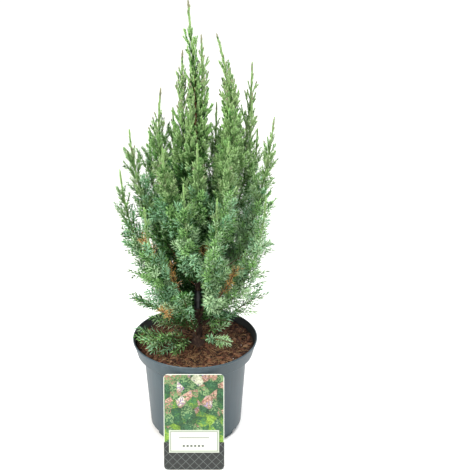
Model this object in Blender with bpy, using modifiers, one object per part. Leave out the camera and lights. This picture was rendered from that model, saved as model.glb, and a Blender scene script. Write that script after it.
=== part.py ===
"""Potted Chinese juniper: a young upright conifer in a round nursery pot.

Units are metres, +Z is up, and the origin is the centre of the pot's flat
underside.  +X is the plant's right and -Y its front.  The trunk stands on the
potting mix and runs up to the leading shoot.  Boughs fork from it, lean out and
turn upright, and each one ends in its own plume of scaly foliage.  Short, prickly
young branches fill the foot of the plant.
"""

import math
import random

import bmesh
import bpy
import numpy as np
from mathutils import Matrix, Vector

# ---------------------------------------------------------------- dimensions

CLEARANCE = 0.0003  # gap between solids that touch on the real plant

POT_SIDES = 40
POT_HEIGHT = 0.154
POT_WALL = 0.0016
POT_LIP_RADIUS = 0.095
POT_COLLAR_HEIGHT = 0.024  # the wider band under the lip
POT_COLLAR_RADIUS = 0.0885  # of the band's lower edge
POT_BODY_TOP_RADIUS = 0.0785
POT_BODY_FOOT_RADIUS = 0.070
POT_FOOT_HEIGHT = 0.010  # the body steps in here, to the foot
POT_FOOT_RADIUS = 0.065
POT_FLOOR = 0.002
DRAIN_HOLES = 8
DRAIN_SIZE = (0.010, 0.013, 0.0075)  # depth, width and height of a slot's cutter

SOIL_TOP = 0.1420  # level ground round the trunk
SOIL_EDGE_DROP = 0.0015
SOIL_LEVEL_RADIUS = 0.022

TRUNK_FOOT = (0.002, 0.0)
TRUNK_TOP = 0.575
TRUNK_RADIUS = 0.0062
TRUNK_TIP_RADIUS = 0.0013
TRUNK_BOW = 0.0045  # the trunk bows this far to the right on its way up
ROOT_FLARE = 0.0048  # extra radius at the ground
ROOT_FLARE_HEIGHT = 0.011
TRUNK_RINGS = 26
LEADER_TIP = (-0.004, 0.0, 0.684)

TIE_BOTTOM = 0.204  # the black sleeve round the trunk
TIE_LENGTH = 0.030
TIE_WALL = 0.0009

LABEL_WIDTH = 0.090
LABEL_LENGTH = 0.1475
LABEL_THICKNESS = 0.0008
LABEL_CORNER = 0.0065
LABEL_FOOT = 0.1330  # how far in front of the pot's axis its lower edge stands

BOUGH_RADIUS = 0.0034  # of the thickest bough, at its fork
BOUGH_TAPER = 0.5
BARE_SHARE = 0.25  # of a bough's run that is bare wood; the rest carries foliage
STEM_RADIUS = 0.0017  # of a mass's stem, where it meets its bough or the trunk

# Each row is one bough with its plume: name, direction round the trunk in
# degrees (0 is right, 90 back), how far out and how high its tip stands, the
# height of its fork, the plume's half-width, and how far out the bough swings
# before its tip, as a share of the tip's reach.
UPRIGHT = (
    ("outer_right", 359, 0.117, 0.511, 0.187, 0.030, 0.82),
    ("outer_back_right", 31, 0.110, 0.470, 0.177, 0.031, 0.92),
    ("outer_back", 66, 0.104, 0.438, 0.188, 0.031, 0.92),
    ("outer_back_left", 103, 0.104, 0.430, 0.170, 0.031, 0.92),
    ("outer_far_left", 138, 0.088, 0.466, 0.182, 0.031, 0.98),
    ("outer_left", 186, 0.106, 0.434, 0.188, 0.028, 0.92),
    ("outer_near_left", 226, 0.098, 0.402, 0.178, 0.030, 0.92),
    ("outer_front", 262, 0.082, 0.440, 0.252, 0.027, 0.92),
    ("outer_near_front", 294, 0.088, 0.418, 0.184, 0.028, 0.92),
    ("outer_near_right", 339, 0.113, 0.402, 0.170, 0.029, 0.92),
    ("inner_right", 13, 0.088, 0.541, 0.252, 0.030, 1.00),
    ("inner_back_right", 60, 0.068, 0.510, 0.262, 0.029, 0.92),
    ("inner_back_left", 119, 0.062, 0.505, 0.257, 0.029, 0.92),
    ("inner_left", 179, 0.091, 0.492, 0.254, 0.029, 0.92),
    ("inner_front_left", 228, 0.062, 0.482, 0.276, 0.027, 0.92),
    ("inner_front", 279, 0.050, 0.490, 0.306, 0.024, 0.92),
    ("inner_front_right", 321, 0.067, 0.490, 0.268, 0.028, 0.92),
    ("upper_right", 8, 0.036, 0.634, 0.330, 0.030, 2.60),
    ("upper_back_right", 20, 0.091, 0.583, 0.290, 0.026, 0.98),
    ("upper_left", 158, 0.049, 0.548, 0.310, 0.028, 1.30),
)

# Slim plumes stand close to the trunk and spring straight from it.
CLOSE = (
    ("crown_left", 170, 0.013, 0.610, 0.364, 0.024, 1.30),
    ("crown_right", 355, 0.014, 0.634, 0.408, 0.021, 1.20),
    ("crown_front", 262, 0.014, 0.572, 0.396, 0.020, 1.30),
    ("crown_back", 82, 0.016, 0.586, 0.384, 0.022, 1.30),
)

# The young branches at the foot spring straight from the trunk too.
LOW = (
    ("low_right", 349, 0.113, 0.322, 0.239, 0.034, 0.74),
    ("low_front_right", 352, 0.110, 0.236, 0.150, 0.038, 0.74),
    ("low_front", 311, 0.082, 0.178, 0.151, 0.032, 0.74),
    ("low_near_left", 215, 0.097, 0.176, 0.153, 0.034, 0.74),
    ("low_left", 186, 0.092, 0.224, 0.158, 0.034, 0.74),
    ("low_far_left", 170, 0.108, 0.318, 0.238, 0.034, 0.74),
    ("low_back_left", 122, 0.098, 0.236, 0.156, 0.040, 0.74),
    ("low_back_right", 58, 0.100, 0.232, 0.154, 0.040, 0.74),
    ("low_centre", 257, 0.078, 0.262, 0.149, 0.034, 0.74),
)

GOLDEN_ANGLE = math.radians(137.5)
BARK = (0.105, 0.062, 0.040)
GREEN = (0.085, 0.190, 0.075)
BLUE_GREEN = (0.110, 0.230, 0.145)
POT_GREY = (0.130, 0.160, 0.172)
SOIL_BROWN = (0.070, 0.040, 0.024)
CARD_GREEN = (0.420, 0.550, 0.320)
TIE_BLACK = (0.012, 0.014, 0.017)


# -------------------------------------------------------------------- helpers


def clear_scene():
    for old in list(bpy.data.objects):
        bpy.data.objects.remove(old, do_unlink=True)


def new_collection(name, shown=True):
    made = bpy.data.collections.new(name)
    bpy.context.scene.collection.children.link(made)
    made.hide_render = not shown
    return made


def material(name, colour, roughness):
    made = bpy.data.materials.new(name)
    made.use_nodes = True
    shader = made.node_tree.nodes["Principled BSDF"]
    shader.inputs["Base Color"].default_value = (*colour, 1.0)
    shader.inputs["Roughness"].default_value = roughness
    shader.inputs["Metallic"].default_value = 0.0
    return made


def new_object(name, data, collection, finish=None):
    made = bpy.data.objects.new(name, data)
    collection.objects.link(made)
    if finish is not None:
        data.materials.clear()
        data.materials.append(finish)
    return made


def object_from_bmesh(name, shape, collection, finish=None):
    mesh = bpy.data.meshes.new(name)
    shape.to_mesh(mesh)
    shape.free()
    return new_object(name, mesh, collection, finish)


def make_cutter(cutter):
    cutter.hide_render = True
    cutter.display_type = "WIRE"
    return cutter


def settled(source, collection, finish=None):
    """Replaces a curve, or an object with modifiers, by the mesh it evaluates to."""
    bpy.context.view_layer.update()
    graph = bpy.context.evaluated_depsgraph_get()
    mesh = bpy.data.meshes.new_from_object(source.evaluated_get(graph))
    shape = bmesh.new()
    shape.from_mesh(mesh)
    bmesh.ops.remove_doubles(shape, verts=shape.verts, dist=1e-6)
    shape.to_mesh(mesh)
    shape.free()
    name, place = source.name, source.matrix_world.copy()
    bpy.data.objects.remove(source, do_unlink=True)
    made = new_object(name, mesh, collection, finish)
    made.matrix_world = place
    return made


def turned(name, profile, collection, finish):
    """Spins a profile of (radius, height) points, which starts and ends on the axis, round Z."""
    mesh = bpy.data.meshes.new(name)
    points = [(radius, 0.0, height) for radius, height in profile]
    mesh.from_pydata(points, [(i, i + 1) for i in range(len(points) - 1)], [])
    made = new_object(name, mesh, collection, finish)
    screw = made.modifiers.new("turn", "SCREW")
    screw.steps = screw.render_steps = POT_SIDES
    screw.use_merge_vertices = True
    screw.merge_threshold = 0.0001
    screw.use_smooth_shade = True
    return made


def tapered_tube(name, points, radii, sides, collection):
    """A curve through the points whose bevel follows the radii, with filled ends."""
    curve = bpy.data.curves.new(name, "CURVE")
    curve.dimensions = "3D"
    curve.bevel_depth = 1.0
    curve.bevel_resolution = (sides - 4) // 2
    curve.use_fill_caps = True
    spline = curve.splines.new("POLY")
    spline.points.add(len(points) - 1)
    for knot, point, radius in zip(spline.points, points, radii):
        knot.co = (*point, 1.0)
        knot.radius = radius
    return new_object(name, curve, collection)


# -------------------------------------------------------------- pot and label


def make_pot(parts, cutters, finish):
    """A moulded pot: flat floor, foot, tapering body, stepped collar and thin lip."""
    wall, height = POT_WALL, POT_HEIGHT
    collar = height - POT_COLLAR_HEIGHT
    inside = [
        (0.0, POT_FLOOR),
        (POT_FOOT_RADIUS - wall, POT_FLOOR),
        (POT_FOOT_RADIUS - wall, POT_FOOT_HEIGHT + wall),
        (POT_BODY_FOOT_RADIUS - wall, POT_FOOT_HEIGHT + wall + 0.001),
        (POT_BODY_TOP_RADIUS - wall, collar + wall),
        (POT_COLLAR_RADIUS - wall, collar + wall + 0.001),
        (POT_LIP_RADIUS - wall, height),
    ]
    outside = [
        (POT_LIP_RADIUS - 0.0006, height),
        (POT_LIP_RADIUS, height - 0.0008),
        (POT_LIP_RADIUS - 0.0008, height - 0.0040),
        (POT_COLLAR_RADIUS, collar + 0.0008),
        (POT_COLLAR_RADIUS - 0.0008, collar),
        (POT_BODY_TOP_RADIUS, collar - 0.001),
        (POT_BODY_FOOT_RADIUS, POT_FOOT_HEIGHT),
        (POT_FOOT_RADIUS, POT_FOOT_HEIGHT - 0.001),
        (POT_FOOT_RADIUS, 0.0),
        (0.0, 0.0),
    ]
    pot = turned("pot", inside + outside, parts, finish)

    depth, width, tall = DRAIN_SIZE
    slots = bmesh.new()
    for i in range(DRAIN_HOLES):
        turn = Matrix.Rotation(math.tau * (i + 0.5) / DRAIN_HOLES, 4, "Z")
        move = Matrix.Translation((POT_FOOT_RADIUS + 0.002 - depth / 2, 0.0, tall / 2 - 0.002))
        bmesh.ops.create_cube(slots, size=1.0, matrix=turn @ move @ Matrix.Diagonal((*DRAIN_SIZE, 1.0)))
    cut = pot.modifiers.new("drain slots", "BOOLEAN")
    cut.object = make_cutter(object_from_bmesh("drain_slots", slots, cutters))


def make_potting_mix(parts, finish):
    """The root ball and its top dressing, which fill the pot to just under the lip."""
    inset = POT_WALL + CLEARANCE
    collar = POT_HEIGHT - POT_COLLAR_HEIGHT
    floor = POT_FLOOR + CLEARANCE
    step = POT_FOOT_HEIGHT + POT_WALL + CLEARANCE
    ledge = collar + POT_WALL + CLEARANCE
    edge_height = SOIL_TOP - SOIL_EDGE_DROP
    share = (edge_height - ledge - 0.001) / (POT_HEIGHT - ledge - 0.001)
    edge_radius = POT_COLLAR_RADIUS - inset + share * (POT_LIP_RADIUS - POT_COLLAR_RADIUS)
    profile = [
        (0.0, SOIL_TOP),
        (SOIL_LEVEL_RADIUS, SOIL_TOP),
        (edge_radius, edge_height),
        (POT_COLLAR_RADIUS - inset, ledge + 0.001),
        (POT_BODY_TOP_RADIUS - inset, ledge),
        (POT_BODY_FOOT_RADIUS - inset, step + 0.001),
        (POT_FOOT_RADIUS - inset, step),
        (POT_FOOT_RADIUS - inset, floor),
        (0.0, floor),
    ]
    turned("potting_mix", profile, parts, finish)


def label_lean():
    """How far back the card leans when its top edge is just clear of the collar."""
    lean = 0.0
    for _ in range(20):
        above = LABEL_LENGTH * math.cos(lean) - (POT_HEIGHT - POT_COLLAR_HEIGHT)
        widening = (POT_LIP_RADIUS - POT_COLLAR_RADIUS) * above / POT_COLLAR_HEIGHT
        run = LABEL_FOOT - POT_COLLAR_RADIUS - widening - CLEARANCE - LABEL_THICKNESS
        lean = math.asin(run / LABEL_LENGTH)
    return lean


def make_label(parts, finish):
    """A flat card with round corners.  It stands on its lower edge and leans on the collar."""
    curve = bpy.data.curves.new("plant_label", "CURVE")
    curve.dimensions = "2D"
    curve.fill_mode = "BOTH"
    curve.extrude = LABEL_THICKNESS / 2
    across, low, high = LABEL_WIDTH / 2 - LABEL_CORNER, LABEL_CORNER, LABEL_LENGTH - LABEL_CORNER
    outline = []
    for quarter, (x, y) in enumerate(((across, high), (-across, high), (-across, low), (across, low))):
        for step in range(6):
            angle = math.radians(90 * quarter + 18 * step)
            outline.append((x + LABEL_CORNER * math.cos(angle), y + LABEL_CORNER * math.sin(angle)))
    spline = curve.splines.new("POLY")
    spline.points.add(len(outline) - 1)
    for knot, (x, y) in zip(spline.points, outline):
        knot.co = (x, y, 0.0, 1.0)
    spline.use_cyclic_u = True
    card = new_object("plant_label", curve, parts)
    lean = label_lean()
    card.rotation_euler = (math.pi / 2 - lean, 0.0, 0.0)
    card.location = (0.0, -LABEL_FOOT, LABEL_THICKNESS / 2 * math.sin(lean))
    settled(card, parts, finish)


# -------------------------------------------------------------------- skeleton


def trunk_axis(height):
    """The middle of the trunk at a height: it bows out and comes back to its line."""
    share = (height - SOIL_TOP) / (TRUNK_TOP - SOIL_TOP)
    bow = TRUNK_BOW * math.sin(math.pi * min(1.0, 0.12 + 0.75 * share))
    return Vector((TRUNK_FOOT[0] + bow, TRUNK_FOOT[1] + 0.002 * math.sin(5.0 * share), height))


def trunk_radius(height):
    share = (height - SOIL_TOP) / (TRUNK_TOP - SOIL_TOP)
    flare = ROOT_FLARE * math.exp(-(height - SOIL_TOP) / ROOT_FLARE_HEIGHT)
    return TRUNK_RADIUS + (TRUNK_TIP_RADIUS - TRUNK_RADIUS) * share**0.8 + flare


class Spine:
    """The line of one bough: a curve that leaves the trunk, leans out and turns to its tip."""

    def __init__(self, start, first, second, tip):
        self.knots = (start, first, second, tip)
        run = tip - start
        self.out = Vector((run.x, run.y, 0.0)).normalized()

    @classmethod
    def of(cls, row, lean, first_rise, last_rise):
        """From a table row: how far out its first handle leans, and how high both handles stand."""
        _, direction, reach, top, fork, _, swing = row
        angle = math.radians(direction)
        start = trunk_axis(fork)
        tip = Vector((reach * math.cos(angle), reach * math.sin(angle), top))
        run, rise = Vector((*(tip - start).xy, 0.0)), Vector((0.0, 0.0, top - fork))
        return cls(start, start + lean * run + first_rise * rise, start + swing * run + last_rise * rise, tip)

    def at(self, t):
        a, b, c, d = self.knots
        s = 1.0 - t
        return s**3 * a + 3 * s * s * t * b + 3 * s * t * t * c + t**3 * d

    def frame(self, t):
        """Unit vectors along the spine, to one side of it and across both."""
        a, b, c, d = self.knots
        s = 1.0 - t
        along = (s * s * (b - a) + 2 * s * t * (c - b) + t * t * (d - c)).normalized()
        side = Vector((0.0, 0.0, 1.0)).cross(self.out)
        side = (side - side.dot(along) * along).normalized()
        return along, side, along.cross(side)


def upright_spine(row):
    return Spine.of(row, max(0.40, 0.6 * row[6] - 0.15), 0.16, 0.42)


def close_spine(row):
    return Spine.of(row, 0.90, 0.20, 0.55)


def low_spine(row):
    return Spine.of(row, 0.36, 0.42, 0.86)


def leader_spine():
    start, tip = trunk_axis(TRUNK_TOP), Vector(LEADER_TIP)
    return Spine(start, start.lerp(tip, 1 / 3), start.lerp(tip, 2 / 3), tip)


def bough_radius(row, share):
    """Thicker for a longer bough, and tapering along it."""
    thick = BOUGH_RADIUS * (0.62 + 0.38 * min(1.0, (row[3] - row[4]) / 0.32))
    return thick * (1.0 - BOUGH_TAPER * share)


def leaves_bark(spine):
    """The share of a spine's run at which it comes out of the trunk's bark, or just before."""
    t = 0.0
    while (spine.at(t) - trunk_axis(spine.at(t).z)).xy.length < trunk_radius(spine.at(t).z) - 0.001:
        t += 0.0025
    return t


# ---------------------------------------------------------------------- masses


class Mass:
    """One mass of foliage: its spine, where on it the foliage starts, and its half-width."""

    STATIONS = 32

    def __init__(self, name, kind, spine, start, width):
        self.name, self.kind, self.spine, self.start, self.width = name, kind, spine, start, width
        shares = [i / self.STATIONS for i in range(self.STATIONS + 1)]
        self.line = np.array([self.place(u)[0] for u in shares])
        self.reach = np.array([0.45 * width + 0.55 * self.half_width(u) for u in shares])
        self.length = float(np.linalg.norm(np.diff(self.line, axis=0), axis=1).sum())

    def place(self, u):
        """Point and frame at share u of the mass's own length."""
        t = self.start + (1.0 - self.start) * u
        return (self.spine.at(t), *self.spine.frame(t))

    def half_width(self, u):
        """A plume fills out soon and is drawn out to a point; a low branch stays broad."""
        if self.kind == "low":
            return self.width * (0.55 + 0.45 * math.sin(math.pi * min(1.0, 1.1 * u))) * (1.0 - u) ** 0.35
        return self.width * min(1.0, 0.6 + 2.0 * u) * (1.0 - u) ** 0.5

    def nearness(self, points):
        """How far each point is from the stem, as a share of the mass's reach there."""
        gaps = np.linalg.norm(points[:, None, :] - self.line[None, :, :], axis=2)
        return (gaps / self.reach[None, :]).min(axis=1)


class Plant:
    """All the masses and limbs, so that each keeps to its own space."""

    SHARE_GAP = 0.04  # how much nearer its own stem than another's a spray stays
    LIMB_GAP = 0.0006

    def __init__(self):
        self.masses, self.limbs = [], []

    def add_limb(self, points, radii):
        self.limbs.append((np.array(points), np.array(radii)))

    def has_room(self, points, mass):
        """True if the points are in the mass's space and clear of pot, mix and every limb."""
        points = np.array([tuple(p) for p in points])
        own = mass.nearness(points)
        for other in self.masses:
            if other is not mass and (own + self.SHARE_GAP > other.nearness(points)).any():
                return False
        for line, radii in self.limbs:
            gaps = np.linalg.norm(points[:, None, :] - line[None, :, :], axis=2) - radii[None, :]
            if (gaps < self.LIMB_GAP).any():
                return False
        radius, height = np.hypot(points[:, 0], points[:, 1]), points[:, 2]
        over_rim = (radius > POT_LIP_RADIUS - 0.014) & (height < POT_HEIGHT + 0.003)
        return not (over_rim | (height < SOIL_TOP + 0.003)).any()

    def room_round(self, point, mass, u):
        """How thick the stem may be at a point: up to the mass's border or the nearest limb."""
        point = np.array(tuple(point))
        own = mass.reach[round(u * mass.STATIONS)]
        room = [mass.width]
        for other in self.masses:
            if other is not mass:
                gaps = np.linalg.norm(other.line - point, axis=1)
                room.append(0.9 * (gaps * own / (own + other.reach)).min())
        for line, radii in self.limbs:
            gaps = np.linalg.norm(line - point, axis=1) - radii - self.LIMB_GAP
            if gaps.min() > -0.001:
                room.append(0.9 * gaps.min())
        return max(0.0004, float(min(room)))


class Spray:
    """A straight needle, twig or spray of needles from foot to tip, thickest at its waist."""

    def __init__(self, foot, aim, length, radius, waist):
        self.foot, self.aim, self.length, self.radius, self.waist = foot, aim, length, radius, waist

    def samples(self, skip):
        """Points along it, past the part that is sunk in its stem, and round its waist."""
        side = self.aim.orthogonal().normalized() * self.radius
        across = self.aim.cross(side)
        middle = self.foot + self.aim * self.length * self.waist
        ring = [middle + side, middle - side, middle + across, middle - across]
        run = [self.foot + self.aim * (skip + (self.length - skip) * i / 6) for i in range(7)]
        return run if self.waist * self.length < skip else run + ring

    def build(self, name, collection):
        """A cone if its waist is at its foot, else a double cone."""
        turn = self.aim.to_track_quat("Z", "Y").to_matrix().to_4x4()
        shape = bmesh.new()
        if self.waist == 0.0:
            bmesh.ops.create_cone(
                shape, cap_ends=True, segments=3, radius1=self.radius, radius2=0.0, depth=self.length
            )
            bmesh.ops.translate(shape, verts=shape.verts, vec=(0.0, 0.0, self.length / 2))
        else:
            bmesh.ops.create_uvsphere(shape, u_segments=4, v_segments=2, radius=1.0)
            for corner in shape.verts:
                height = (0.0, self.waist, 1.0)[round(corner.co.z) + 1]
                corner.co = (corner.co.x * self.radius, corner.co.y * self.radius, height * self.length)
        bmesh.ops.remove_doubles(shape, verts=shape.verts, dist=1e-6)
        made = object_from_bmesh(name, shape, collection)
        made.matrix_world = Matrix.Translation(self.foot) @ turn
        return make_cutter(made)


def heading(frame, angle, spread):
    """A direction that leaves the stem at an angle from it, turned round it by spread."""
    _, along, side, across = frame
    outward = math.cos(spread) * side + math.sin(spread) * across
    return (math.cos(angle) * along + math.sin(angle) * outward).normalized()


def longest_that_fits(plant, mass, foot, aim, lengths, slimness, waist, skip):
    """The longest of several sizes of a spray that stays in the mass's space, or None."""
    for length in lengths:
        spray = Spray(foot, aim, length, slimness * length, waist)
        if plant.has_room(spray.samples(skip), mass):
            return spray
    return None


def plume_sprays(mass, plant, rng):
    """Sprays that climb round the stem at the golden angle, closer to it towards the tip."""
    sprays = []
    count = 5 + round(mass.length / 0.026)
    for i in range(count):
        u = 0.02 + 0.82 * i / count
        frame = mass.place(u)
        angle = math.radians(rng.uniform(27, 37) - 10 * u)
        aim = heading(frame, angle, GOLDEN_ANGLE * i + rng.uniform(-0.3, 0.3))
        full = 1.12 * mass.half_width(u) / math.sin(angle) * rng.uniform(0.88, 1.08)
        sizes = [full * share for share in (1.0, 0.8, 0.6, 0.45)]
        spray = longest_that_fits(plant, mass, frame[0], aim, sizes, 0.125, 0.45, 0.2 * full)
        if spray is not None:
            sprays.append(spray)
    return sprays


def prickly_sprays(mass, plant, rng):
    """Twigs on both sides of the stem, with needles standing out of them and of its end."""
    sprays = []
    for i in range(6):
        u = 0.10 + 0.70 * i / 6
        frame = mass.place(u)
        angle = math.radians(rng.uniform(34, 48))
        aim = heading(frame, angle, math.pi * (i % 2) + rng.uniform(-0.8, 0.8))
        full = 1.2 * mass.half_width(u) / math.sin(angle)
        sizes = [full * share for share in (1.0, 0.75, 0.5)]
        twig = longest_that_fits(plant, mass, frame[0], aim, sizes, 0.13, 0.5, 0.1 * full)
        if twig is None:
            continue
        sprays.append(twig)
        sprays += needles_on(mass, plant, rng, twig.foot, aim, twig.length, 3)
    for u in (0.62, 0.86):
        point, along, _, _ = mass.place(u)
        sprays += needles_on(mass, plant, rng, point, along, 0.02, 2)
    return sprays


def needles_on(mass, plant, rng, start, aim, run, count):
    needles = []
    side = aim.orthogonal().normalized()
    for n in range(count):
        point = start + aim * run * (0.3 + 0.62 * n / count)
        spread = GOLDEN_ANGLE * n + rng.uniform(-0.4, 0.4)
        out = heading((point, aim, side, aim.cross(side)), math.radians(50), spread)
        size = rng.uniform(0.012, 0.016)
        needle = longest_that_fits(plant, mass, point, out, (size, 0.7 * size), 0.07, 0.0, 0.002)
        if needle is not None:
            needles.append(needle)
    return needles


def stem_of(mass, plant, collection):
    """The mass's stem.  A plume's swells to a slim core that its sprays stand out of."""
    rings = 5 if mass.kind == "low" else 7
    points, radii = [], []
    for ring in range(rings):
        u = (ring / (rings - 1)) ** 1.1
        point, along, _, _ = mass.place(min(u, 0.985))
        if ring == 0:
            radius = STEM_RADIUS
        elif mass.kind == "low":
            radius = min(0.0034 * (1.0 - u) + 0.0006, plant.room_round(point, mass, u))
        else:
            radius = min(0.40 * mass.half_width(u), plant.room_round(point, mass, u))
        points.append(point + along * CLEARANCE if ring == 0 else point)
        radii.append(radius)
    return tapered_tube(mass.name, points, radii, 4 if mass.kind == "low" else 6, collection)


def drop_scraps(mesh):
    """Keeps the largest connected body of a mesh."""
    shape = bmesh.new()
    shape.from_mesh(mesh)
    left, bodies = set(shape.verts), []
    while left:
        body, edge = set(), [left.pop()]
        while edge:
            vertex = edge.pop()
            body.add(vertex)
            for link in vertex.link_edges:
                other = link.other_vert(vertex)
                if other in left:
                    left.discard(other)
                    edge.append(other)
        bodies.append(body)
    largest = max(bodies, key=len)
    scraps = [vertex for body in bodies if body is not largest for vertex in body]
    bmesh.ops.delete(shape, geom=scraps, context="VERTS")
    shape.to_mesh(mesh)
    shape.free()


def make_mass(mass, plant, parts, trunk_room, finish, seed):
    """Joins the stem and all its sprays by one Boolean union, and clears the trunk out of it."""
    rng = random.Random(seed)
    sprays = (prickly_sprays if mass.kind == "low" else plume_sprays)(mass, plant, rng)
    whole = settled(stem_of(mass, plant, parts), parts, finish)
    work = new_collection("sprays", shown=False)
    for i, spray in enumerate(sprays):
        spray.build(f"spray_{i}", work)
    union = whole.modifiers.new("sprays", "BOOLEAN")
    union.operation = "UNION"
    union.operand_type = "COLLECTION"
    union.collection = work
    union.solver = "MANIFOLD"
    cut = whole.modifiers.new("trunk", "BOOLEAN")
    cut.object = trunk_room
    cut.solver = "MANIFOLD"
    whole = settled(whole, parts, finish)
    drop_scraps(whole.data)
    for spray in list(work.objects):
        bpy.data.objects.remove(spray, do_unlink=True)
    bpy.data.collections.remove(work)


# ----------------------------------------------------------------------- build


def make_trunk(parts, cutters, finish):
    """The trunk, and a slightly wider cutter that clears it out of the boughs' feet."""
    foot = SOIL_TOP + CLEARANCE
    heights = [foot + (TRUNK_TOP - foot) * (i / (TRUNK_RINGS - 1)) ** 1.35 for i in range(TRUNK_RINGS)]
    points = [trunk_axis(height) for height in heights]
    points[0].xy = points[1].xy  # upright at its foot, so that it is cut off level
    radii = [trunk_radius(height) for height in heights]
    settled(tapered_tube("trunk", points, radii, 10, parts), parts, finish)
    wider = [radius + CLEARANCE for radius in radii]
    return make_cutter(settled(tapered_tube("trunk_room", points, wider, 10, cutters), cutters))


def make_bough(row, spine, parts, trunk_room, finish):
    """Bare wood from the trunk's bark to the foot of the plume."""
    steps = 5
    shares = [i / (steps - 1) for i in range(steps)]
    points = [spine.at(BARE_SHARE * share) for share in shares]
    radii = [bough_radius(row, share) for share in shares]
    bough = settled(tapered_tube("bough_" + row[0], points, radii, 6, parts), parts, finish)
    cut = bough.modifiers.new("trunk", "BOOLEAN")
    cut.object = trunk_room
    settled(bough, parts, finish)


def make_tie(parts, finish):
    """A short black sleeve round the trunk."""
    middle = TIE_BOTTOM + TIE_LENGTH / 2
    tube = bmesh.new()
    radius = trunk_radius(TIE_BOTTOM) + 2 * CLEARANCE
    bmesh.ops.create_cone(tube, segments=14, radius1=radius, radius2=radius, depth=TIE_LENGTH)
    tie = object_from_bmesh("stem_tie", tube, parts, finish)
    tie.location = trunk_axis(middle)
    shell = tie.modifiers.new("wall", "SOLIDIFY")
    shell.thickness = TIE_WALL
    shell.offset = 1.0


def main():
    clear_scene()
    parts = new_collection("potted_juniper")
    cutters = new_collection("cutters", shown=False)
    bark = material("juniper bark", BARK, 0.9)
    green = material("adult foliage", GREEN, 0.6)
    blue_green = material("juvenile foliage", BLUE_GREEN, 0.6)

    make_pot(parts, cutters, material("grey polypropylene", POT_GREY, 0.45))
    make_potting_mix(parts, material("bark and peat", SOIL_BROWN, 0.95))
    make_label(parts, material("printed card", CARD_GREEN, 0.35))
    make_tie(parts, material("black plastic", TIE_BLACK, 0.35))
    trunk_room = make_trunk(parts, cutters, bark)

    plant = Plant()
    heights = [SOIL_TOP + (TRUNK_TOP - SOIL_TOP) * i / 140 for i in range(141)]
    plant.add_limb([trunk_axis(h) for h in heights], [trunk_radius(h) for h in heights])
    for row in UPRIGHT:
        spine = upright_spine(row)
        make_bough(row, spine, parts, trunk_room, bark)
        shares = [i / 30 for i in range(31)]
        plant.add_limb([spine.at(BARE_SHARE * s) for s in shares], [bough_radius(row, s) for s in shares])
        plant.masses.append(Mass("foliage_" + row[0], "plume", spine, BARE_SHARE, row[5]))
    for row in CLOSE:
        spine = close_spine(row)
        plant.masses.append(Mass("foliage_" + row[0], "plume", spine, leaves_bark(spine), row[5]))
    for row in LOW:
        spine = low_spine(row)
        plant.masses.append(Mass("foliage_" + row[0], "low", spine, leaves_bark(spine), row[5]))
    plant.masses.append(Mass("foliage_leader", "plume", leader_spine(), 0.0, 0.017))

    for seed, mass in enumerate(plant.masses):
        finish = blue_green if mass.kind == "low" else green
        make_mass(mass, plant, parts, trunk_room, finish, seed)


main()
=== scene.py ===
# %% [markdown]
# # A potted Chinese juniper
# The plant is a young upright conifer in a three-litre nursery pot.  The solids that
# are loaded first fix every size: this lesson only dresses them.  Each mass of foliage
# is a rough solid there; here it becomes twigs and needles that grow by the same rule.

# %% Load the solids
import functools
import math
import random

import bpy
import numpy as np
from mathutils import Matrix, Vector, noise


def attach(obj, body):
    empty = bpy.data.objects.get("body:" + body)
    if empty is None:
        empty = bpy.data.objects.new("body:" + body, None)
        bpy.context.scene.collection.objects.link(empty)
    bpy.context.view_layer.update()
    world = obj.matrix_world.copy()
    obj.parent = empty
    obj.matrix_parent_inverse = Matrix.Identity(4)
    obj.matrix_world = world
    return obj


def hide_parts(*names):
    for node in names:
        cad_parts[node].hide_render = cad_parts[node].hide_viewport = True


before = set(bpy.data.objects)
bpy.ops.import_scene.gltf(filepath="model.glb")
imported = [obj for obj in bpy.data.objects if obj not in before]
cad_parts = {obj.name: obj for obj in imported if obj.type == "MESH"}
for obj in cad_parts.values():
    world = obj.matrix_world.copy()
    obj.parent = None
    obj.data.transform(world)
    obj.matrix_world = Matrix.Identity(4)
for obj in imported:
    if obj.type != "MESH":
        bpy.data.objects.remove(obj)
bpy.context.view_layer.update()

# %% [markdown]
# ## Small helpers
# Colours are chosen as sRGB hex values, the way a colour picker shows them, but shaders
# want linear light, so one function converts them.  Another adds a shader node with its
# settings and links in one line, which keeps each material short enough to read.


# %% Colour and node helpers
def colour(hex_value):
    """Linear RGBA from an sRGB hex value such as '6b7a80'."""
    channels = [int(hex_value[i : i + 2], 16) / 255 for i in (0, 2, 4)]
    return (*[c / 12.92 if c <= 0.04045 else ((c + 0.055) / 1.055) ** 2.4 for c in channels], 1.0)


def add_node(tree, kind, inputs=(), stops=(), **settings):
    """Adds a shader node.  Inputs are a list in order or a dict: nodes and sockets are linked,
    values are set.  Stops of (place, hex colour) fill a colour ramp."""
    node = tree.nodes.new("ShaderNode" + kind)
    for name, value in settings.items():
        setattr(node, name, value)
    for socket, value in (inputs if isinstance(inputs, dict) else dict(enumerate(inputs))).items():
        value = value.outputs[0] if isinstance(value, bpy.types.Node) else value
        if isinstance(value, bpy.types.NodeSocket):
            tree.links.new(value, node.inputs[socket])
        else:
            node.inputs[socket].default_value = value
    if stops:
        elements = node.color_ramp.elements
        while len(elements) < len(stops):
            elements.new(0.5)
        for element, (place, hex_value) in zip(elements, stops):
            element.position, element.color = place, colour(hex_value)
    return node


def new_material(name):
    """An empty material, and the function that adds a node to it."""
    made = bpy.data.materials.new(name)
    made.use_nodes = True
    made.node_tree.nodes.clear()
    return made, functools.partial(add_node, made.node_tree)


# %% [markdown]
# ## How pieces are made
# Hand-made pieces start from a primitive that is shaped in edit mode.  Things that are
# there by the thousand, such as needles or chips of bark, are worked out as arrays of
# corners and triangles and joined at once, because one object each would be far too slow.


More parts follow.
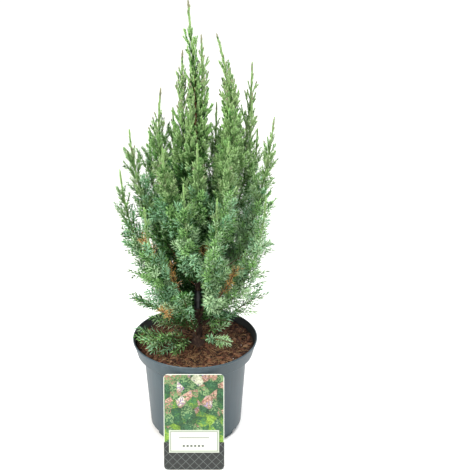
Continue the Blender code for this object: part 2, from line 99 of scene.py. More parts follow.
# %% Modelling helpers
def only(piece=None):
    """Leaves the piece, or nothing, selected."""
    bpy.ops.object.select_all(action="DESELECT")
    if piece:
        piece.select_set(True)
        bpy.context.view_layer.objects.active = piece


def start_editing(name, select="VERT"):
    """Names the new primitive and opens it in edit mode, with all of it selected."""
    piece = bpy.context.object
    piece.name = piece.data.name = name
    bpy.ops.object.mode_set(mode="EDIT")
    bpy.ops.mesh.select_mode(type=select)
    bpy.ops.mesh.select_all(action="SELECT")
    return piece


def stop_editing(inside=False):
    bpy.ops.mesh.select_all(action="SELECT")
    bpy.ops.mesh.normals_make_consistent(inside=inside)
    bpy.ops.object.mode_set(mode="OBJECT")


def turned(name, profile, steps):
    """Extrudes a profile of (radius, height) points from one vertex and spins it round Z."""
    only()
    bpy.ops.mesh.primitive_plane_add(size=0.001, location=(0.0, 0.0, 0.0))
    made = start_editing(name)
    bpy.ops.mesh.merge(type="CENTER")
    bpy.ops.transform.translate(value=(profile[0][0], 0.0, profile[0][1]))
    for (r0, z0), (r1, z1) in zip(profile, profile[1:]):
        bpy.ops.mesh.extrude_region_move(TRANSFORM_OT_translate={"value": (r1 - r0, 0.0, z1 - z0)})
    bpy.ops.mesh.select_all(action="SELECT")
    bpy.ops.mesh.spin(steps=steps, angle=math.tau, center=(0.0, 0.0, 0.0), axis=(0.0, 0.0, 1.0))
    bpy.ops.mesh.select_all(action="SELECT")
    bpy.ops.mesh.remove_doubles(threshold=0.00001)
    stop_editing()
    return made


def apply_modifier(piece, kind, **settings):
    """Adds a modifier with its settings and applies it."""
    only(piece)
    modifier = piece.modifiers.new(kind.lower(), kind)
    for name, value in settings.items():
        setattr(modifier, name, value)
    bpy.ops.object.modifier_apply(modifier=modifier.name)


def settle(piece, angle=35.0):
    """Moves the object's place into its mesh and smooths all but its sharp edges."""
    only(piece)
    bpy.ops.object.transform_apply(location=True, rotation=True, scale=True)
    bpy.ops.object.shade_smooth_by_angle(angle=math.radians(angle))
    return piece


def joined_mesh(name, corners, faces, made):
    """One object from an array of corners and an array of triangles."""
    mesh = bpy.data.meshes.new(name)
    mesh.vertices.add(len(corners))
    mesh.vertices.foreach_set("co", np.asarray(corners, np.float32).ravel())
    mesh.loops.add(3 * len(faces))
    mesh.loops.foreach_set("vertex_index", np.asarray(faces, np.int32).ravel())
    mesh.polygons.add(len(faces))
    mesh.polygons.foreach_set("loop_start", np.arange(0, 3 * len(faces), 3, dtype=np.int32))
    mesh.update(calc_edges=True)
    mesh.materials.append(made)
    piece = bpy.data.objects.new(name, mesh)
    bpy.context.scene.collection.objects.link(piece)
    return piece


def finished(piece, slot, *nodes):
    """Hangs the piece on the root body and hides the solids that it stands for.  The slot is not used."""
    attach(piece, "root")
    if nodes:
        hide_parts(*nodes)
    print(f"{piece.name}: {len(piece.data.polygons)} faces")


# %% [markdown]
# ## Camera, light and floor
# The plant is seen from in front and well above the rim, so that the potting mix shows.
# A long lens keeps the pot's sides nearly parallel.  The light is that of a white studio:
# a bright even surround, a soft lamp in front on the left, another in front from high
# above and a weaker one behind on the right.

# %% Camera
CAMERA_PLACE = (0.061, -2.093, 1.329)
CAMERA_PITCH = math.radians(90 - 25.61)
LENS_MM, SENSOR_MM = 119.95, 36.0
camera_data = bpy.data.cameras.new("camera")
camera_data.lens, camera_data.sensor_width = LENS_MM, SENSOR_MM
camera = bpy.data.objects.new("camera", camera_data)
camera.location = CAMERA_PLACE
camera.rotation_euler = (CAMERA_PITCH, 0.0, 0.0)
scene = bpy.context.scene
scene.collection.objects.link(camera)
scene.camera = camera

# %% Light
SURROUND_STRENGTH = 0.88
scene.view_settings.view_transform = "Standard"
scene.world = bpy.data.worlds.new("white studio")
scene.world.use_nodes = True
scene.world.node_tree.nodes.clear()
surround = add_node(scene.world.node_tree, "Background", [colour("ffffff"), SURROUND_STRENGTH])
add_node(scene.world.node_tree, "OutputWorld", [surround])
LAMP_AIM = Vector((0.0, 0.0, 0.35))
for name, place, size, power, tint in (
    ("key", (-1.1, -1.3, 1.6), 0.8, 46.0, "fffaf2"),
    ("top", (0.45, -0.8, 2.5), 1.0, 40.0, "fffdf8"),
    ("rim", (1.2, 0.9, 1.5), 0.8, 12.0, "f4f8ff"),
):
    data = bpy.data.lights.new(name, "AREA")
    data.shape = "DISK"
    data.size, data.energy, data.color = size, power, colour(tint)[:3]
    lamp = bpy.data.objects.new(name, data)
    lamp.location = place
    lamp.rotation_euler = (LAMP_AIM - Vector(place)).to_track_quat("-Z", "Y").to_euler()
    scene.collection.objects.link(lamp)

# %% [markdown]
# The floor is a wide sheet of pale board.  Its edge turns up in a soft curve, as a studio
# backdrop does, so that no horizon shows behind the plant.

# %% Floor
FLOOR_RADIUS, CURVE_STEP = 5.0, 0.5
only()
bpy.ops.mesh.primitive_circle_add(vertices=96, radius=FLOOR_RADIUS, fill_type="NGON", location=(0, 0, 0))
floor = start_editing("floor", "EDGE")
bpy.ops.mesh.region_to_loop()
for ring in range(1, 7):
    rise = CURVE_STEP * math.sin(ring * math.radians(12))
    bpy.ops.mesh.extrude_region_move(TRANSFORM_OT_translate={"value": (0.0, 0.0, rise)})
    grow = (FLOOR_RADIUS + CURVE_STEP * ring) / (FLOOR_RADIUS + CURVE_STEP * (ring - 1))
    bpy.ops.transform.resize(value=(grow, grow, 1.0))
stop_editing(inside=True)
settle(floor, 60.0)

board, add = new_material("painted white board")
grain = add("TexNoise", {"Scale": 3.0, "Detail": 4.0})
tone = add("ValToRGB", [grain], [(0.3, "f4f4f3"), (0.7, "fbfbfa")])
matt = add("BsdfPrincipled", {"Base Color": tone, "Roughness": 0.85})
add("OutputMaterial", [matt])
floor.data.materials.append(board)

# %% [markdown]
# ## The pot
# It is a thin-walled nursery pot, injection-moulded in slate-grey recycled polypropylene.
# A pot is a turned shape, so its section is drawn once and spun.  The lip is a small roll
# and the wider collar under it stiffens the rim.  The slots in the foot let water out.

# %% Pot sizes
POT_HEIGHT = 0.154
WALL = 0.0016
LIP_RADIUS = 0.095
COLLAR_HEIGHT = 0.024
COLLAR_RADIUS = 0.0885
BODY_TOP_RADIUS = 0.0785
BODY_FOOT_RADIUS = 0.070
FOOT_HEIGHT = 0.010
FOOT_RADIUS = 0.065
POT_FLOOR = 0.002
POT_STEPS = 144
DRAIN_SLOTS = 8
DRAIN_SIZE = (0.010, 0.013, 0.0075)

# %% Spin the pot
collar = POT_HEIGHT - COLLAR_HEIGHT
inner_lip = LIP_RADIUS - WALL
pot_section = [
    (0.0, POT_FLOOR),
    (FOOT_RADIUS - WALL, POT_FLOOR),
    (FOOT_RADIUS - WALL, FOOT_HEIGHT + WALL),
    (BODY_FOOT_RADIUS - WALL, FOOT_HEIGHT + WALL + 0.001),
    (BODY_TOP_RADIUS - WALL, collar + WALL),
    (COLLAR_RADIUS - WALL, collar + WALL + 0.001),
    (inner_lip - 0.0006, POT_HEIGHT - 0.004),
    (inner_lip - 0.0002, POT_HEIGHT - 0.0006),
    (inner_lip + 0.0004, POT_HEIGHT),
    (LIP_RADIUS - 0.0006, POT_HEIGHT),
    (LIP_RADIUS, POT_HEIGHT - 0.0008),
    (LIP_RADIUS - 0.0001, POT_HEIGHT - 0.0030),
    (LIP_RADIUS - 0.0012, POT_HEIGHT - 0.0040),
    (COLLAR_RADIUS, collar + 0.0008),
    (COLLAR_RADIUS - 0.0008, collar),
    (BODY_TOP_RADIUS + 0.0012, collar - 0.0004),
    (BODY_TOP_RADIUS, collar - 0.0016),
    (BODY_FOOT_RADIUS, FOOT_HEIGHT),
    (FOOT_RADIUS, FOOT_HEIGHT - 0.001),
    (FOOT_RADIUS, 0.0),
    (0.0, 0.0),
]
pot = turned("pot_shell", pot_section, POT_STEPS)

# %% Cut the drain slots
cutters = []
for i in range(DRAIN_SLOTS):
    middle = (FOOT_RADIUS + 0.002 - DRAIN_SIZE[0] / 2, 0.0, DRAIN_SIZE[2] / 2 - 0.002)
    only()
    bpy.ops.mesh.primitive_cube_add(size=1.0, location=middle)
    cutters.append(bpy.context.object)
    cutters[-1].scale = DRAIN_SIZE
    settle(cutters[-1])
    apply_modifier(cutters[-1], "BEVEL", width=0.0012, segments=2)
    cutters[-1].rotation_euler = (0.0, 0.0, math.tau * (i + 0.5) / DRAIN_SLOTS)
only(cutters[0])
for cutter in cutters:
    cutter.select_set(True)
bpy.ops.object.join()
slots = bpy.context.object
apply_modifier(pot, "BOOLEAN", object=slots, solver="EXACT")
bpy.data.objects.remove(slots, do_unlink=True)
apply_modifier(pot, "BEVEL", width=0.0003, segments=2, limit_method="ANGLE", angle_limit=math.radians(40))
settle(pot, 28.0)

# %% [markdown]
# Polypropylene from a mould is faintly glossy: the light slides along the wall in a wide
# soft streak.  Recycled stock is never quite even, so a cloudy change of tone 40 mm wide
# and a fine texture like orange peel, about 0.8 mm across, take the newness off it.

# %% Moulded polypropylene
polypropylene, add = new_material("injection-moulded grey polypropylene")
place = add("TexCoord").outputs["Object"]
clouds = add("TexNoise", {"Vector": place, "Scale": 25.0, "Detail": 3.0})
upright = add("Mapping", {"Vector": place, "Scale": (1.0, 1.0, 0.12)})
streaks = add("TexNoise", {"Vector": upright, "Scale": 160.0, "Detail": 2.0})
mixed = add("Math", [clouds, streaks, 0.22], operation="MULTIPLY_ADD")
tone = add("ValToRGB", [mixed], [(0.25, "26363f"), (0.48, "2d4049"), (0.75, "374a53")])
peel = add("TexNoise", {"Vector": place, "Scale": 1250.0, "Detail": 1.0})
relief = add("Bump", {"Height": peel, "Strength": 0.12, "Distance": 0.0002})
gloss = add("MapRange", {"Value": clouds, "To Min": 0.36, "To Max": 0.50})
shader = add("BsdfPrincipled", {"Base Color": tone, "Roughness": gloss, "Normal": relief, "IOR": 1.49})
add("OutputMaterial", [shader])
pot.data.materials.append(polypropylene)

# %% [markdown]
# The inside of the wall is the same plastic, but it is in the shade, so its faces take a
# darker copy of the finish: painted shade.

# %% Inner wall with painted shade
# a darker copy of the finish for the inside of the wall: painted shade
painted_shade_wall = polypropylene.copy()
painted_shade_wall.name = "grey polypropylene stained by peat"
ramp = next(node.color_ramp for node in painted_shade_wall.node_tree.nodes if node.type == "VALTORGB")
for element, hex_value in zip(ramp.elements, ("1d2022", "262a2c", "343634")):
    element.color = colour(hex_value)
pot.data.materials.append(painted_shade_wall)
# faces that look inwards, under the lip, take the darker copy: painted shade
for face in pot.data.polygons:
    inward = face.normal.xy.dot(face.center.xy) < -0.3 * face.center.xy.length
    if inward and face.center.z < POT_HEIGHT - 0.001:
        face.material_index = 1
finished(pot, "pot_plastic", "pot")

# %% [markdown]
# ## The potting mix
# Peat and composted bark fill the pot to 12 mm under the lip.  Its surface is made in
# two steps: a turned block whose top is pushed up and down by noise, and then thousands
# of bark chips, crumbs and fibres scattered on it, with a few white grains of perlite.

# %% Mix sizes
CLEARANCE = 0.0003
SOIL_TOP = 0.1420
SOIL_EDGE = SOIL_TOP - 0.0015
MIX_RINGS, MIX_STEPS = 44, 120
TRUNK_FOOT = (0.002, 0.0)


def ground_height(x, y):
    """The mix's surface: low swells 30 mm apart with lumps of 8 mm on them."""
    swell = 0.0022 * noise.noise(Vector((x * 33, y * 33, 0.7)))
    lumps = 0.0013 * noise.noise(Vector((x * 125, y * 125, 5.1)))
    mound = 0.0012 * math.exp(-(((x - TRUNK_FOOT[0]) ** 2 + y * y) / 0.0006))
    bank = 0.0022 * (math.hypot(x, y) / 0.09) ** 3
    return SOIL_TOP - 0.0008 + swell + lumps + mound + bank


# %% Turn the block and push its top about
inset = WALL + CLEARANCE
ledge = collar + inset
edge_share = (SOIL_EDGE - ledge - 0.001) / (POT_HEIGHT - ledge - 0.001)
edge_radius = COLLAR_RADIUS - inset + edge_share * (LIP_RADIUS - COLLAR_RADIUS)
mix_section = [(edge_radius * i / MIX_RINGS, SOIL_TOP) for i in range(MIX_RINGS)]
mix_section += [
    (edge_radius, SOIL_EDGE),
    (COLLAR_RADIUS - inset, ledge + 0.001),
    (BODY_TOP_RADIUS - inset, ledge),
    (BODY_FOOT_RADIUS - inset, FOOT_HEIGHT + inset + 0.001),
    (FOOT_RADIUS - inset, FOOT_HEIGHT + inset),
    (FOOT_RADIUS - inset, POT_FLOOR + CLEARANCE),
    (0.0, POT_FLOOR + CLEARANCE),
]
mix = turned("potting_mix_block", mix_section, MIX_STEPS)
for corner in mix.data.vertices:
    if corner.co.z > SOIL_EDGE - 0.0002:
        corner.co.z = ground_height(corner.co.x, corner.co.y)
settle(mix, 50.0)

# %% [markdown]
# Peat and bark are brown and dull.  Damp patches are darker than dry ones, and a grain of
# about a millimetre throws tiny shadows, which a bump gives between the modelled lumps.


# %% Peat and bark materials
def earthy(name, stops, patch_mm, grain_mm, roughness, relief_mm):
    """A dull organic finish: patches of tone, a grain in them and a bump of the same grain."""
    made, add = new_material(name)
    place = add("TexCoord").outputs["Object"]
    patches = add("TexNoise", {"Vector": place, "Scale": 1000 / patch_mm, "Detail": 4.0})
    grain = add("TexNoise", {"Vector": place, "Scale": 1000 / grain_mm, "Detail": 5.0, "Roughness": 0.65})
    both = add("Mix", {0: 0.5, 2: patches, 3: grain})
    tone = add("ValToRGB", [both], stops)
    relief = add("Bump", {"Height": grain, "Strength": 0.8, "Distance": relief_mm / 1000})
    finish = {"Base Color": tone, "Roughness": roughness, "Normal": relief, "Specular IOR Level": 0.25}
    add("OutputMaterial", [add("BsdfPrincipled", finish)])
    return made


def browns(dark, middle, pale):
    return [(0.30, dark), (0.52, middle), (0.72, pale)]


peat_stops = [(0.30, "1c130f"), (0.50, "2e1f18"), (0.70, "443124")]
peat = earthy("sieved black peat", peat_stops, 14, 1.5, 0.95, 0.8)
dark_bark = earthy("composted bark", browns("29180f", "42281b", "5e3e2b"), 9, 1.0, 0.9, 0.3)
red_bark = earthy("split pine bark", browns("42281c", "62402d", "805a42"), 9, 1.0, 0.85, 0.3)
pale_bark = earthy("weathered pine bark", browns("55402f", "735742", "94765a"), 7, 1.0, 0.9, 0.3)
straw = earthy("dry coconut fibre", browns("644833", "836647", "a68b69"), 12, 1.0, 0.85, 0.1)
perlite = earthy("expanded perlite", [(0.30, "cfc9bf"), (0.60, "e9e5dc")], 4, 0.6, 0.8, 0.2)
mix.data.materials.append(peat)
finished(mix, "potting_mix", "potting_mix")

# %% [markdown]
# Each chip is a rough slab with six unequal sides, lying nearly flat.  A crumb is a
# knobbly eight-sided lump.  A fibre is a three-sided thread that curls over the surface.
# All are worked out as arrays; the random numbers start from a fixed seed, so the same
# handful of mix comes out every time.

# %% Scatter helpers
CHIP_FACES = [(0, i + 1, i) for i in range(1, 5)] + [(6, 6 + i, 6 + i + 1) for i in range(1, 5)]
CHIP_FACES += [f for i in range(6) for f in ((i, (i + 1) % 6, 6 + (i + 1) % 6), (i, 6 + (i + 1) % 6, 6 + i))]
LUMP_FACES = [(4, i, (i + 1) % 4) for i in range(4)] + [(5, (i + 1) % 4, i) for i in range(4)]


def inside_pot(rng, reach=COLLAR_RADIUS):
    """A random spot on the mix, clear of the trunk."""
    while True:
        radius, turn = reach * math.sqrt(rng.random()), math.tau * rng.random()
        x, y = radius * math.cos(turn), radius * math.sin(turn)
        if math.hypot(x - TRUNK_FOOT[0], y) > 0.0125:
            return x, y


def tumbled(rng, tilt):
    """A random turn about Z with a tilt of up to so many degrees."""
    tilt = math.radians(tilt)
    lean = Matrix.Rotation(tilt * rng.uniform(-1, 1), 3, "X")
    spin = Matrix.Rotation(math.tau * rng.random(), 3, "Z")
    return spin @ lean @ Matrix.Rotation(tilt * rng.uniform(-1, 1), 3, "Y")


def chip(rng, length, width, thick):
    """The twelve corners of a slab with six unequal sides, narrower on top."""
    corners = []
    for level, narrow in ((-0.5, 1.0), (0.5, 0.8)):
        for i in range(6):
            turn, jitter = math.tau * i / 6, rng.uniform(0.72, 1.12)
            x, y = 0.5 * length * math.cos(turn) * jitter, 0.5 * width * math.sin(turn) * jitter * narrow
            corners.append(Vector((x, y, level * thick * rng.uniform(0.7, 1.3))))
    return corners


def lump(rng, size):
    """The six corners of a knobbly crumb."""
    corners = [Vector((math.cos(math.tau * i / 4), math.sin(math.tau * i / 4), 0.0)) for i in range(4)]
    corners += [Vector((0, 0, 0.8)), Vector((0, 0, -0.8))]
    return [0.5 * size * rng.uniform(0.65, 1.3) * corner for corner in corners]


class Heap:
    """Gathers corners and triangles of many small things for one joined mesh."""

    def __init__(self):
        self.corners, self.faces, self.count = [], [], 0

    def add(self, corners, faces):
        self.corners.append(np.asarray([tuple(c) for c in corners], float))
        self.faces.append(np.asarray(faces, int) + self.count)
        self.count += len(corners)

    def lay(self, x, y, lift, turn, corners, faces):
        """Adds a shape that lies on the mix at a spot."""
        centre = Vector((x, y, ground_height(x, y) + lift))
        self.add([centre + turn @ corner for corner in corners], faces)

    def mesh(self, name, made):
        return joined_mesh(name, np.concatenate(self.corners), np.concatenate(self.faces), made)


# %% Chips, crumbs and perlite
CHIPS, CRUMBS, GRAINS, THREADS = 1150, 5200, 26, 520
rng = random.Random(11)
heaps = {name: Heap() for name in ("dark", "red", "pale", "crumbs", "red_crumbs", "fibres", "perlite")}
for _ in range(CHIPS):
    kind = rng.choices(("dark", "red", "pale"), (0.52, 0.36, 0.12))[0]
    length = 0.004 + 0.011 * rng.random() ** 2.2
    x, y = inside_pot(rng, COLLAR_RADIUS - 0.35 * length)
    thick = rng.uniform(0.0007, 0.0018)
    turn = tumbled(rng, 28)
    corners = chip(rng, length, length * rng.uniform(0.35, 0.75), thick)
    heaps[kind].lay(x, y, 0.35 * thick + 0.0004, turn, corners, CHIP_FACES)
for number in range(CRUMBS + GRAINS):
    if number < CRUMBS:
        kind, sunk = rng.choices(("crumbs", "red_crumbs"), (0.75, 0.25))[0], 0.25
        size = 0.0009 + 0.0022 * rng.random() ** 2
    else:
        kind, sunk, size = "perlite", 0.5, rng.uniform(0.0012, 0.0026)
    x, y = inside_pot(rng)
    heaps[kind].lay(x, y, sunk * size, tumbled(rng, 80), lump(rng, size), LUMP_FACES)

# %% [markdown]
# A thread or a twig is a tube: a small ring of corners at each point of its line, joined
# ring to ring and closed at both ends.  The same function serves the fibres here and all
# the twigs of the crown further on.


# %% Tubes
def tube(points, radii, sides):
    """Corners and outward triangles of a closed tube round a line of points."""
    points = np.asarray(points, float)
    along = np.gradient(points, axis=0)
    along /= np.linalg.norm(along, axis=1)[:, None]
    guide = np.array((0.0, 0.0, 1.0)) if abs(along[0][2]) < 0.9 else np.array((1.0, 0.0, 0.0))
    side = np.cross(along, guide)
    side /= np.linalg.norm(side, axis=1)[:, None]
    turns = np.arange(sides) * math.tau / sides
    ring = np.cos(turns)[None, :, None] * side[:, None, :]
    ring = ring + np.sin(turns)[None, :, None] * np.cross(along, side)[:, None, :]
    corners = points[:, None, :] + np.asarray(radii)[:, None, None] * ring
    corners = np.concatenate([corners.reshape(-1, 3), points[:1], points[-1:]])
    faces = []
    foot, last = len(points) * sides, (len(points) - 1) * sides
    for k in range(sides):
        n = (k + 1) % sides
        faces += [(foot, n, k), (foot + 1, last + k, last + n)]
        for r in range(0, last, sides):
            faces += [(r + k, r + n, r + sides + n), (r + k, r + sides + n, r + sides + k)]
    return corners, np.array(faces)


# %% Fibres
for _ in range(THREADS):
    x, y = inside_pot(rng, 0.080)
    turn, bend = math.tau * rng.random(), rng.uniform(-90, 90)
    length, line = rng.uniform(0.006, 0.026), []
    for i in range(7):
        line.append((x, y, ground_height(x, y) + 0.0009 + 0.0022 * rng.random() * math.sin(math.pi * i / 6)))
        turn += bend * length / 6
        x, y = x + length / 6 * math.cos(turn), y + length / 6 * math.sin(turn)
    if all(math.hypot(px, py) < COLLAR_RADIUS for px, py, _ in line):
        thick = rng.uniform(0.00018, 0.00042)
        heaps["fibres"].add(*tube(line, [thick, *[thick * 1.2] * 5, thick * 0.5], 3))

for name, made in zip(heaps, (dark_bark, red_bark, pale_bark, peat, dark_bark, straw, perlite)):
    finished(heaps[name].mesh("mix_" + name, made), "potting_mix", "potting_mix")

# %% [markdown]
# ## The plant label
# A label is a printed and laminated card, pushed into the mix or leant on the pot.  It
# starts as a plane whose corners are rounded in edit mode, and its thickness is extruded.
# The plane's own UV map is kept, so the print follows the card wherever it leans.

# %% Card sizes
LABEL_WIDTH = 0.090
LABEL_LENGTH = 0.1475
LABEL_THICKNESS = 0.0008
LABEL_CORNER = 0.0065
LABEL_FOOT = 0.1330  # how far in front of the pot's middle it stands

lean = 0.0
for _ in range(20):  # how far back it leans, with its top edge just clear of the collar
    above = LABEL_LENGTH * math.cos(lean) - collar
    widening = (LIP_RADIUS - COLLAR_RADIUS) * above / COLLAR_HEIGHT
    run = LABEL_FOOT - COLLAR_RADIUS - widening - CLEARANCE - LABEL_THICKNESS
    lean = math.asin(run / LABEL_LENGTH)
print("label leans back", round(math.degrees(lean), 1), "degrees")

# %% Cut the card
only()
bpy.ops.mesh.primitive_plane_add(size=1.0, location=(0.0, 0.5, 0.0))
card = start_editing("label_card")
bpy.ops.transform.resize(value=(LABEL_WIDTH, LABEL_LENGTH, 1.0), center_override=(0.0, 0.0, 0.0))
bpy.ops.mesh.bevel(offset=LABEL_CORNER, segments=7, affect="VERTICES")
bpy.ops.mesh.select_all(action="SELECT")
bpy.ops.mesh.extrude_region_move(TRANSFORM_OT_translate={"value": (0.0, 0.0, LABEL_THICKNESS)})
stop_editing()
settle(card, 30.0)
card.rotation_euler = (math.pi / 2 - lean, 0.0, 0.0)
card.location = (0.0, -LABEL_FOOT + LABEL_THICKNESS / 2, 0.0)
settle(card, 30.0)

# %% [markdown]
# The print is generic: a garden of rounded bushes in mixed greens, with pink, lilac and
# cream ones above, a slate foot with a lattice of thin lines, and over both a pale plate
# with a rule and a row of marks.  Each bush is one cell of a Voronoi pattern 14 mm across,
# broken into leaves by a finer one.  Lamination makes the card smooth and a little glossy.

# %% The garden on the card
print_on_card, add = new_material("laminated card, offset printed")
uv = add("UVMap")
split = add("SeparateXYZ", [uv])
across, up = split.outputs[0], split.outputs[1]
print_mm = add("Mapping", {"Vector": uv, "Scale": (1000 * LABEL_WIDTH, 1000 * LABEL_LENGTH, 1.0)})
bushes = add("TexVoronoi", {"Vector": print_mm, "Scale": 0.072, "Randomness": 0.8})
leaves = add("TexVoronoi", {"Vector": print_mm, "Scale": 0.55, "Randomness": 1.0})
pick = add("SeparateXYZ", [bushes.outputs["Color"]])
leaf_pick = add("SeparateXYZ", [leaves.outputs["Color"]])
# which bush colour a spot takes: by its bush, by how high up it lies and a little by its leaf
which = add("Math", [pick, 0.62, 0.16 - 0.6 * 0.85 - 0.5 * 0.16], operation="MULTIPLY_ADD")
which = add("Math", [up, 0.85, which], operation="MULTIPLY_ADD")
which = add("Math", [leaf_pick, 0.16, which], operation="MULTIPLY_ADD")
BUSH_TONES = "7fa83c 97b94a 4c8247 2b5a3e 3d6e4b 7c9b6c b07f78 cba79a a590ba d6d4c6".split()
bush_places = (0.0, 0.14, 0.24, 0.34, 0.46, 0.58, 0.68, 0.76, 0.83, 0.90)
picture = add("ValToRGB", [which], list(zip(bush_places, BUSH_TONES)))
picture.color_ramp.interpolation = "CONSTANT"
round_shade = add("ValToRGB", [bushes], [(0.0, "ffffff"), (0.5, "d9ddd0"), (0.9, "8b9684")])
leaf_shade = add("ValToRGB", [leaf_pick], [(0.0, "8f9a88"), (0.5, "dfe3da"), (1.0, "ffffff")])
printed = picture.outputs[0]
for strength, shade in ((0.8, round_shade), (0.75, leaf_shade)):
    shaded = add("Mix", {0: strength, 6: printed, 7: shade}, data_type="RGBA", blend_type="MULTIPLY")
    printed = shaded.outputs[2]


# %% Slate, name plate and edge
def within(value, middle, half):
    """1 where the value lies within half of the middle."""
    return add("Math", [value, middle, half], operation="COMPARE")


def panel(half_width, middle, half_height):
    """1 inside an upright rectangle on the card's centre line."""
    sides, ends = within(across, 0.5, half_width), within(up, middle, half_height)
    return add("Math", [sides, ends], operation="MULTIPLY")


LATTICE = 0.013
SLATE_TOP = 0.292
cells_across = add("Math", [across, LABEL_WIDTH / LATTICE], operation="MULTIPLY")
cells_up = add("Math", [up, LABEL_LENGTH / LATTICE], operation="MULTIPLY")
lines = []
for way in ("ADD", "SUBTRACT"):
    slanted = add("Math", [cells_across, cells_up], operation=way)
    lines.append(within(add("Math", [slanted], operation="FRACT"), 0.5, 0.035))
lattice = add("Math", lines, operation="MAXIMUM")
over_slate = add("Math", [up, SLATE_TOP], operation="LESS_THAN")
on_slate = add("Math", [over_slate, lattice], operation="MULTIPLY")
marks = add("Math", [add("Math", [across, 100.0], operation="MULTIPLY")], operation="SINE")
marks = add("Math", [marks, -0.3], operation="GREATER_THAN")
marks = add("Math", [panel(0.19, 0.252, 0.0095), marks], operation="MULTIPLY")
margins = add("Math", [within(across, 0.0, 0.011), within(across, 1.0, 0.011)], operation="MAXIMUM")
margins = add("Math", [margins, within(up, 1.0, 0.007)], operation="MAXIMUM")
above_slate = add("Math", [up, SLATE_TOP], operation="GREATER_THAN")
margins = add("Math", [margins, above_slate], operation="MULTIPLY")
facing = add("SeparateXYZ", [add("NewGeometry").outputs["True Normal"]])
bare_card = add("Math", [facing.outputs[1], -0.5], operation="GREATER_THAN")
inks = (
    (over_slate, "1a1e1e"),
    (on_slate, "5a605e"),
    (panel(0.415, 0.300, 0.118), "b4bbaf"),
    (panel(0.398, 0.300, 0.108), "8d978a"),
    (panel(0.378, 0.300, 0.096), "c6cbc2"),
    (panel(0.25, 0.338, 0.0046), "6d756b"),
    (marks, "474e48"),
    (margins, "ccd2c8"),
    (bare_card, "dfe1dc"),  # all but the front
)
for cover, ink in inks:
    printed = add("Mix", {0: cover, 6: printed, 7: colour(ink)}, data_type="RGBA").outputs[2]
wobble = add("TexNoise", {"Vector": print_mm, "Scale": 0.35, "Detail": 3.0})
ripple = add("Bump", {"Height": wobble, "Strength": 0.05, "Distance": 0.0002})
finish = {"Base Color": printed, "Roughness": 0.28, "IOR": 1.5, "Normal": ripple, "Coat Weight": 0.1}
add("OutputMaterial", [add("BsdfPrincipled", finish)])
card.data.materials.append(print_on_card)
finished(card, "label_card", "plant_label")

# %% [markdown]
# ## The plant's skeleton
# The trunk bows slightly; boughs leave it, lean out and turn upright.  Each bough is a
# cubic curve from its fork to its tip.  The tables below are the same that shaped the
# solids, so twigs grown from them fall inside the solids' reach.

# %% Skeleton sizes and tables
TRUNK_TOP = 0.575
TRUNK_RADIUS = 0.0062
TRUNK_TIP_RADIUS = 0.0013
TRUNK_BOW = 0.0045
ROOT_FLARE = 0.0048
ROOT_FLARE_HEIGHT = 0.011
BOUGH_RADIUS = 0.0034
BOUGH_TAPER = 0.5
LEADER_TIP = Vector((-0.004, 0.0, 0.684))
LEADER_WIDTH = 0.017
BARE_SHARE = 0.25
GOLDEN_ANGLE = math.radians(137.5)
UP = np.array((0.0, 0.0, 1.0))

# name, direction in degrees (0 right, 90 back), reach and height of the tip, height of
# the fork, half-width of the foliage, and how far out the bough swings before its tip
UPRIGHT = (
    ("outer_right", 359, 0.117, 0.511, 0.187, 0.030, 0.82),
    ("outer_back_right", 31, 0.110, 0.470, 0.177, 0.031, 0.92),
    ("outer_back", 66, 0.104, 0.438, 0.188, 0.031, 0.92),
    ("outer_back_left", 103, 0.104, 0.430, 0.170, 0.031, 0.92),
    ("outer_far_left", 138, 0.088, 0.466, 0.182, 0.031, 0.98),
    ("outer_left", 186, 0.106, 0.434, 0.188, 0.028, 0.92),
    ("outer_near_left", 226, 0.098, 0.402, 0.178, 0.030, 0.92),
    ("outer_front", 262, 0.082, 0.440, 0.252, 0.027, 0.92),
    ("outer_near_front", 294, 0.088, 0.418, 0.184, 0.028, 0.92),
    ("outer_near_right", 339, 0.113, 0.402, 0.170, 0.029, 0.92),
    ("inner_right", 13, 0.088, 0.541, 0.252, 0.030, 1.00),
    ("inner_back_right", 60, 0.068, 0.510, 0.262, 0.029, 0.92),
    ("inner_back_left", 119, 0.062, 0.505, 0.257, 0.029, 0.92),
    ("inner_left", 179, 0.091, 0.492, 0.254, 0.029, 0.92),
    ("inner_front_left", 228, 0.062, 0.482, 0.276, 0.027, 0.92),
    ("inner_front", 279, 0.050, 0.490, 0.306, 0.024, 0.92),
    ("inner_front_right", 321, 0.067, 0.490, 0.268, 0.028, 0.92),
    ("upper_right", 8, 0.036, 0.634, 0.330, 0.030, 2.60),
    ("upper_back_right", 20, 0.091, 0.583, 0.290, 0.026, 0.98),
    ("upper_left", 158, 0.049, 0.548, 0.310, 0.028, 1.30),
)
CLOSE = (
    ("crown_left", 170, 0.013, 0.610, 0.364, 0.024, 1.30),
    ("crown_right", 355, 0.014, 0.634, 0.408, 0.021, 1.20),
    ("crown_front", 262, 0.014, 0.572, 0.396, 0.020, 1.30),
    ("crown_back", 82, 0.016, 0.586, 0.384, 0.022, 1.30),
)
LOW = (
    ("low_right", 349, 0.113, 0.322, 0.239, 0.034, 0.74),
    ("low_front_right", 352, 0.110, 0.236, 0.150, 0.038, 0.74),
    ("low_front", 311, 0.082, 0.178, 0.151, 0.032, 0.74),
    ("low_near_left", 215, 0.097, 0.176, 0.153, 0.034, 0.74),
    ("low_left", 186, 0.092, 0.224, 0.158, 0.034, 0.74),
    ("low_far_left", 170, 0.108, 0.318, 0.238, 0.034, 0.74),
    ("low_back_left", 122, 0.098, 0.236, 0.156, 0.040, 0.74),
    ("low_back_right", 58, 0.100, 0.232, 0.154, 0.040, 0.74),
    ("low_centre", 257, 0.078, 0.262, 0.149, 0.034, 0.74),
)


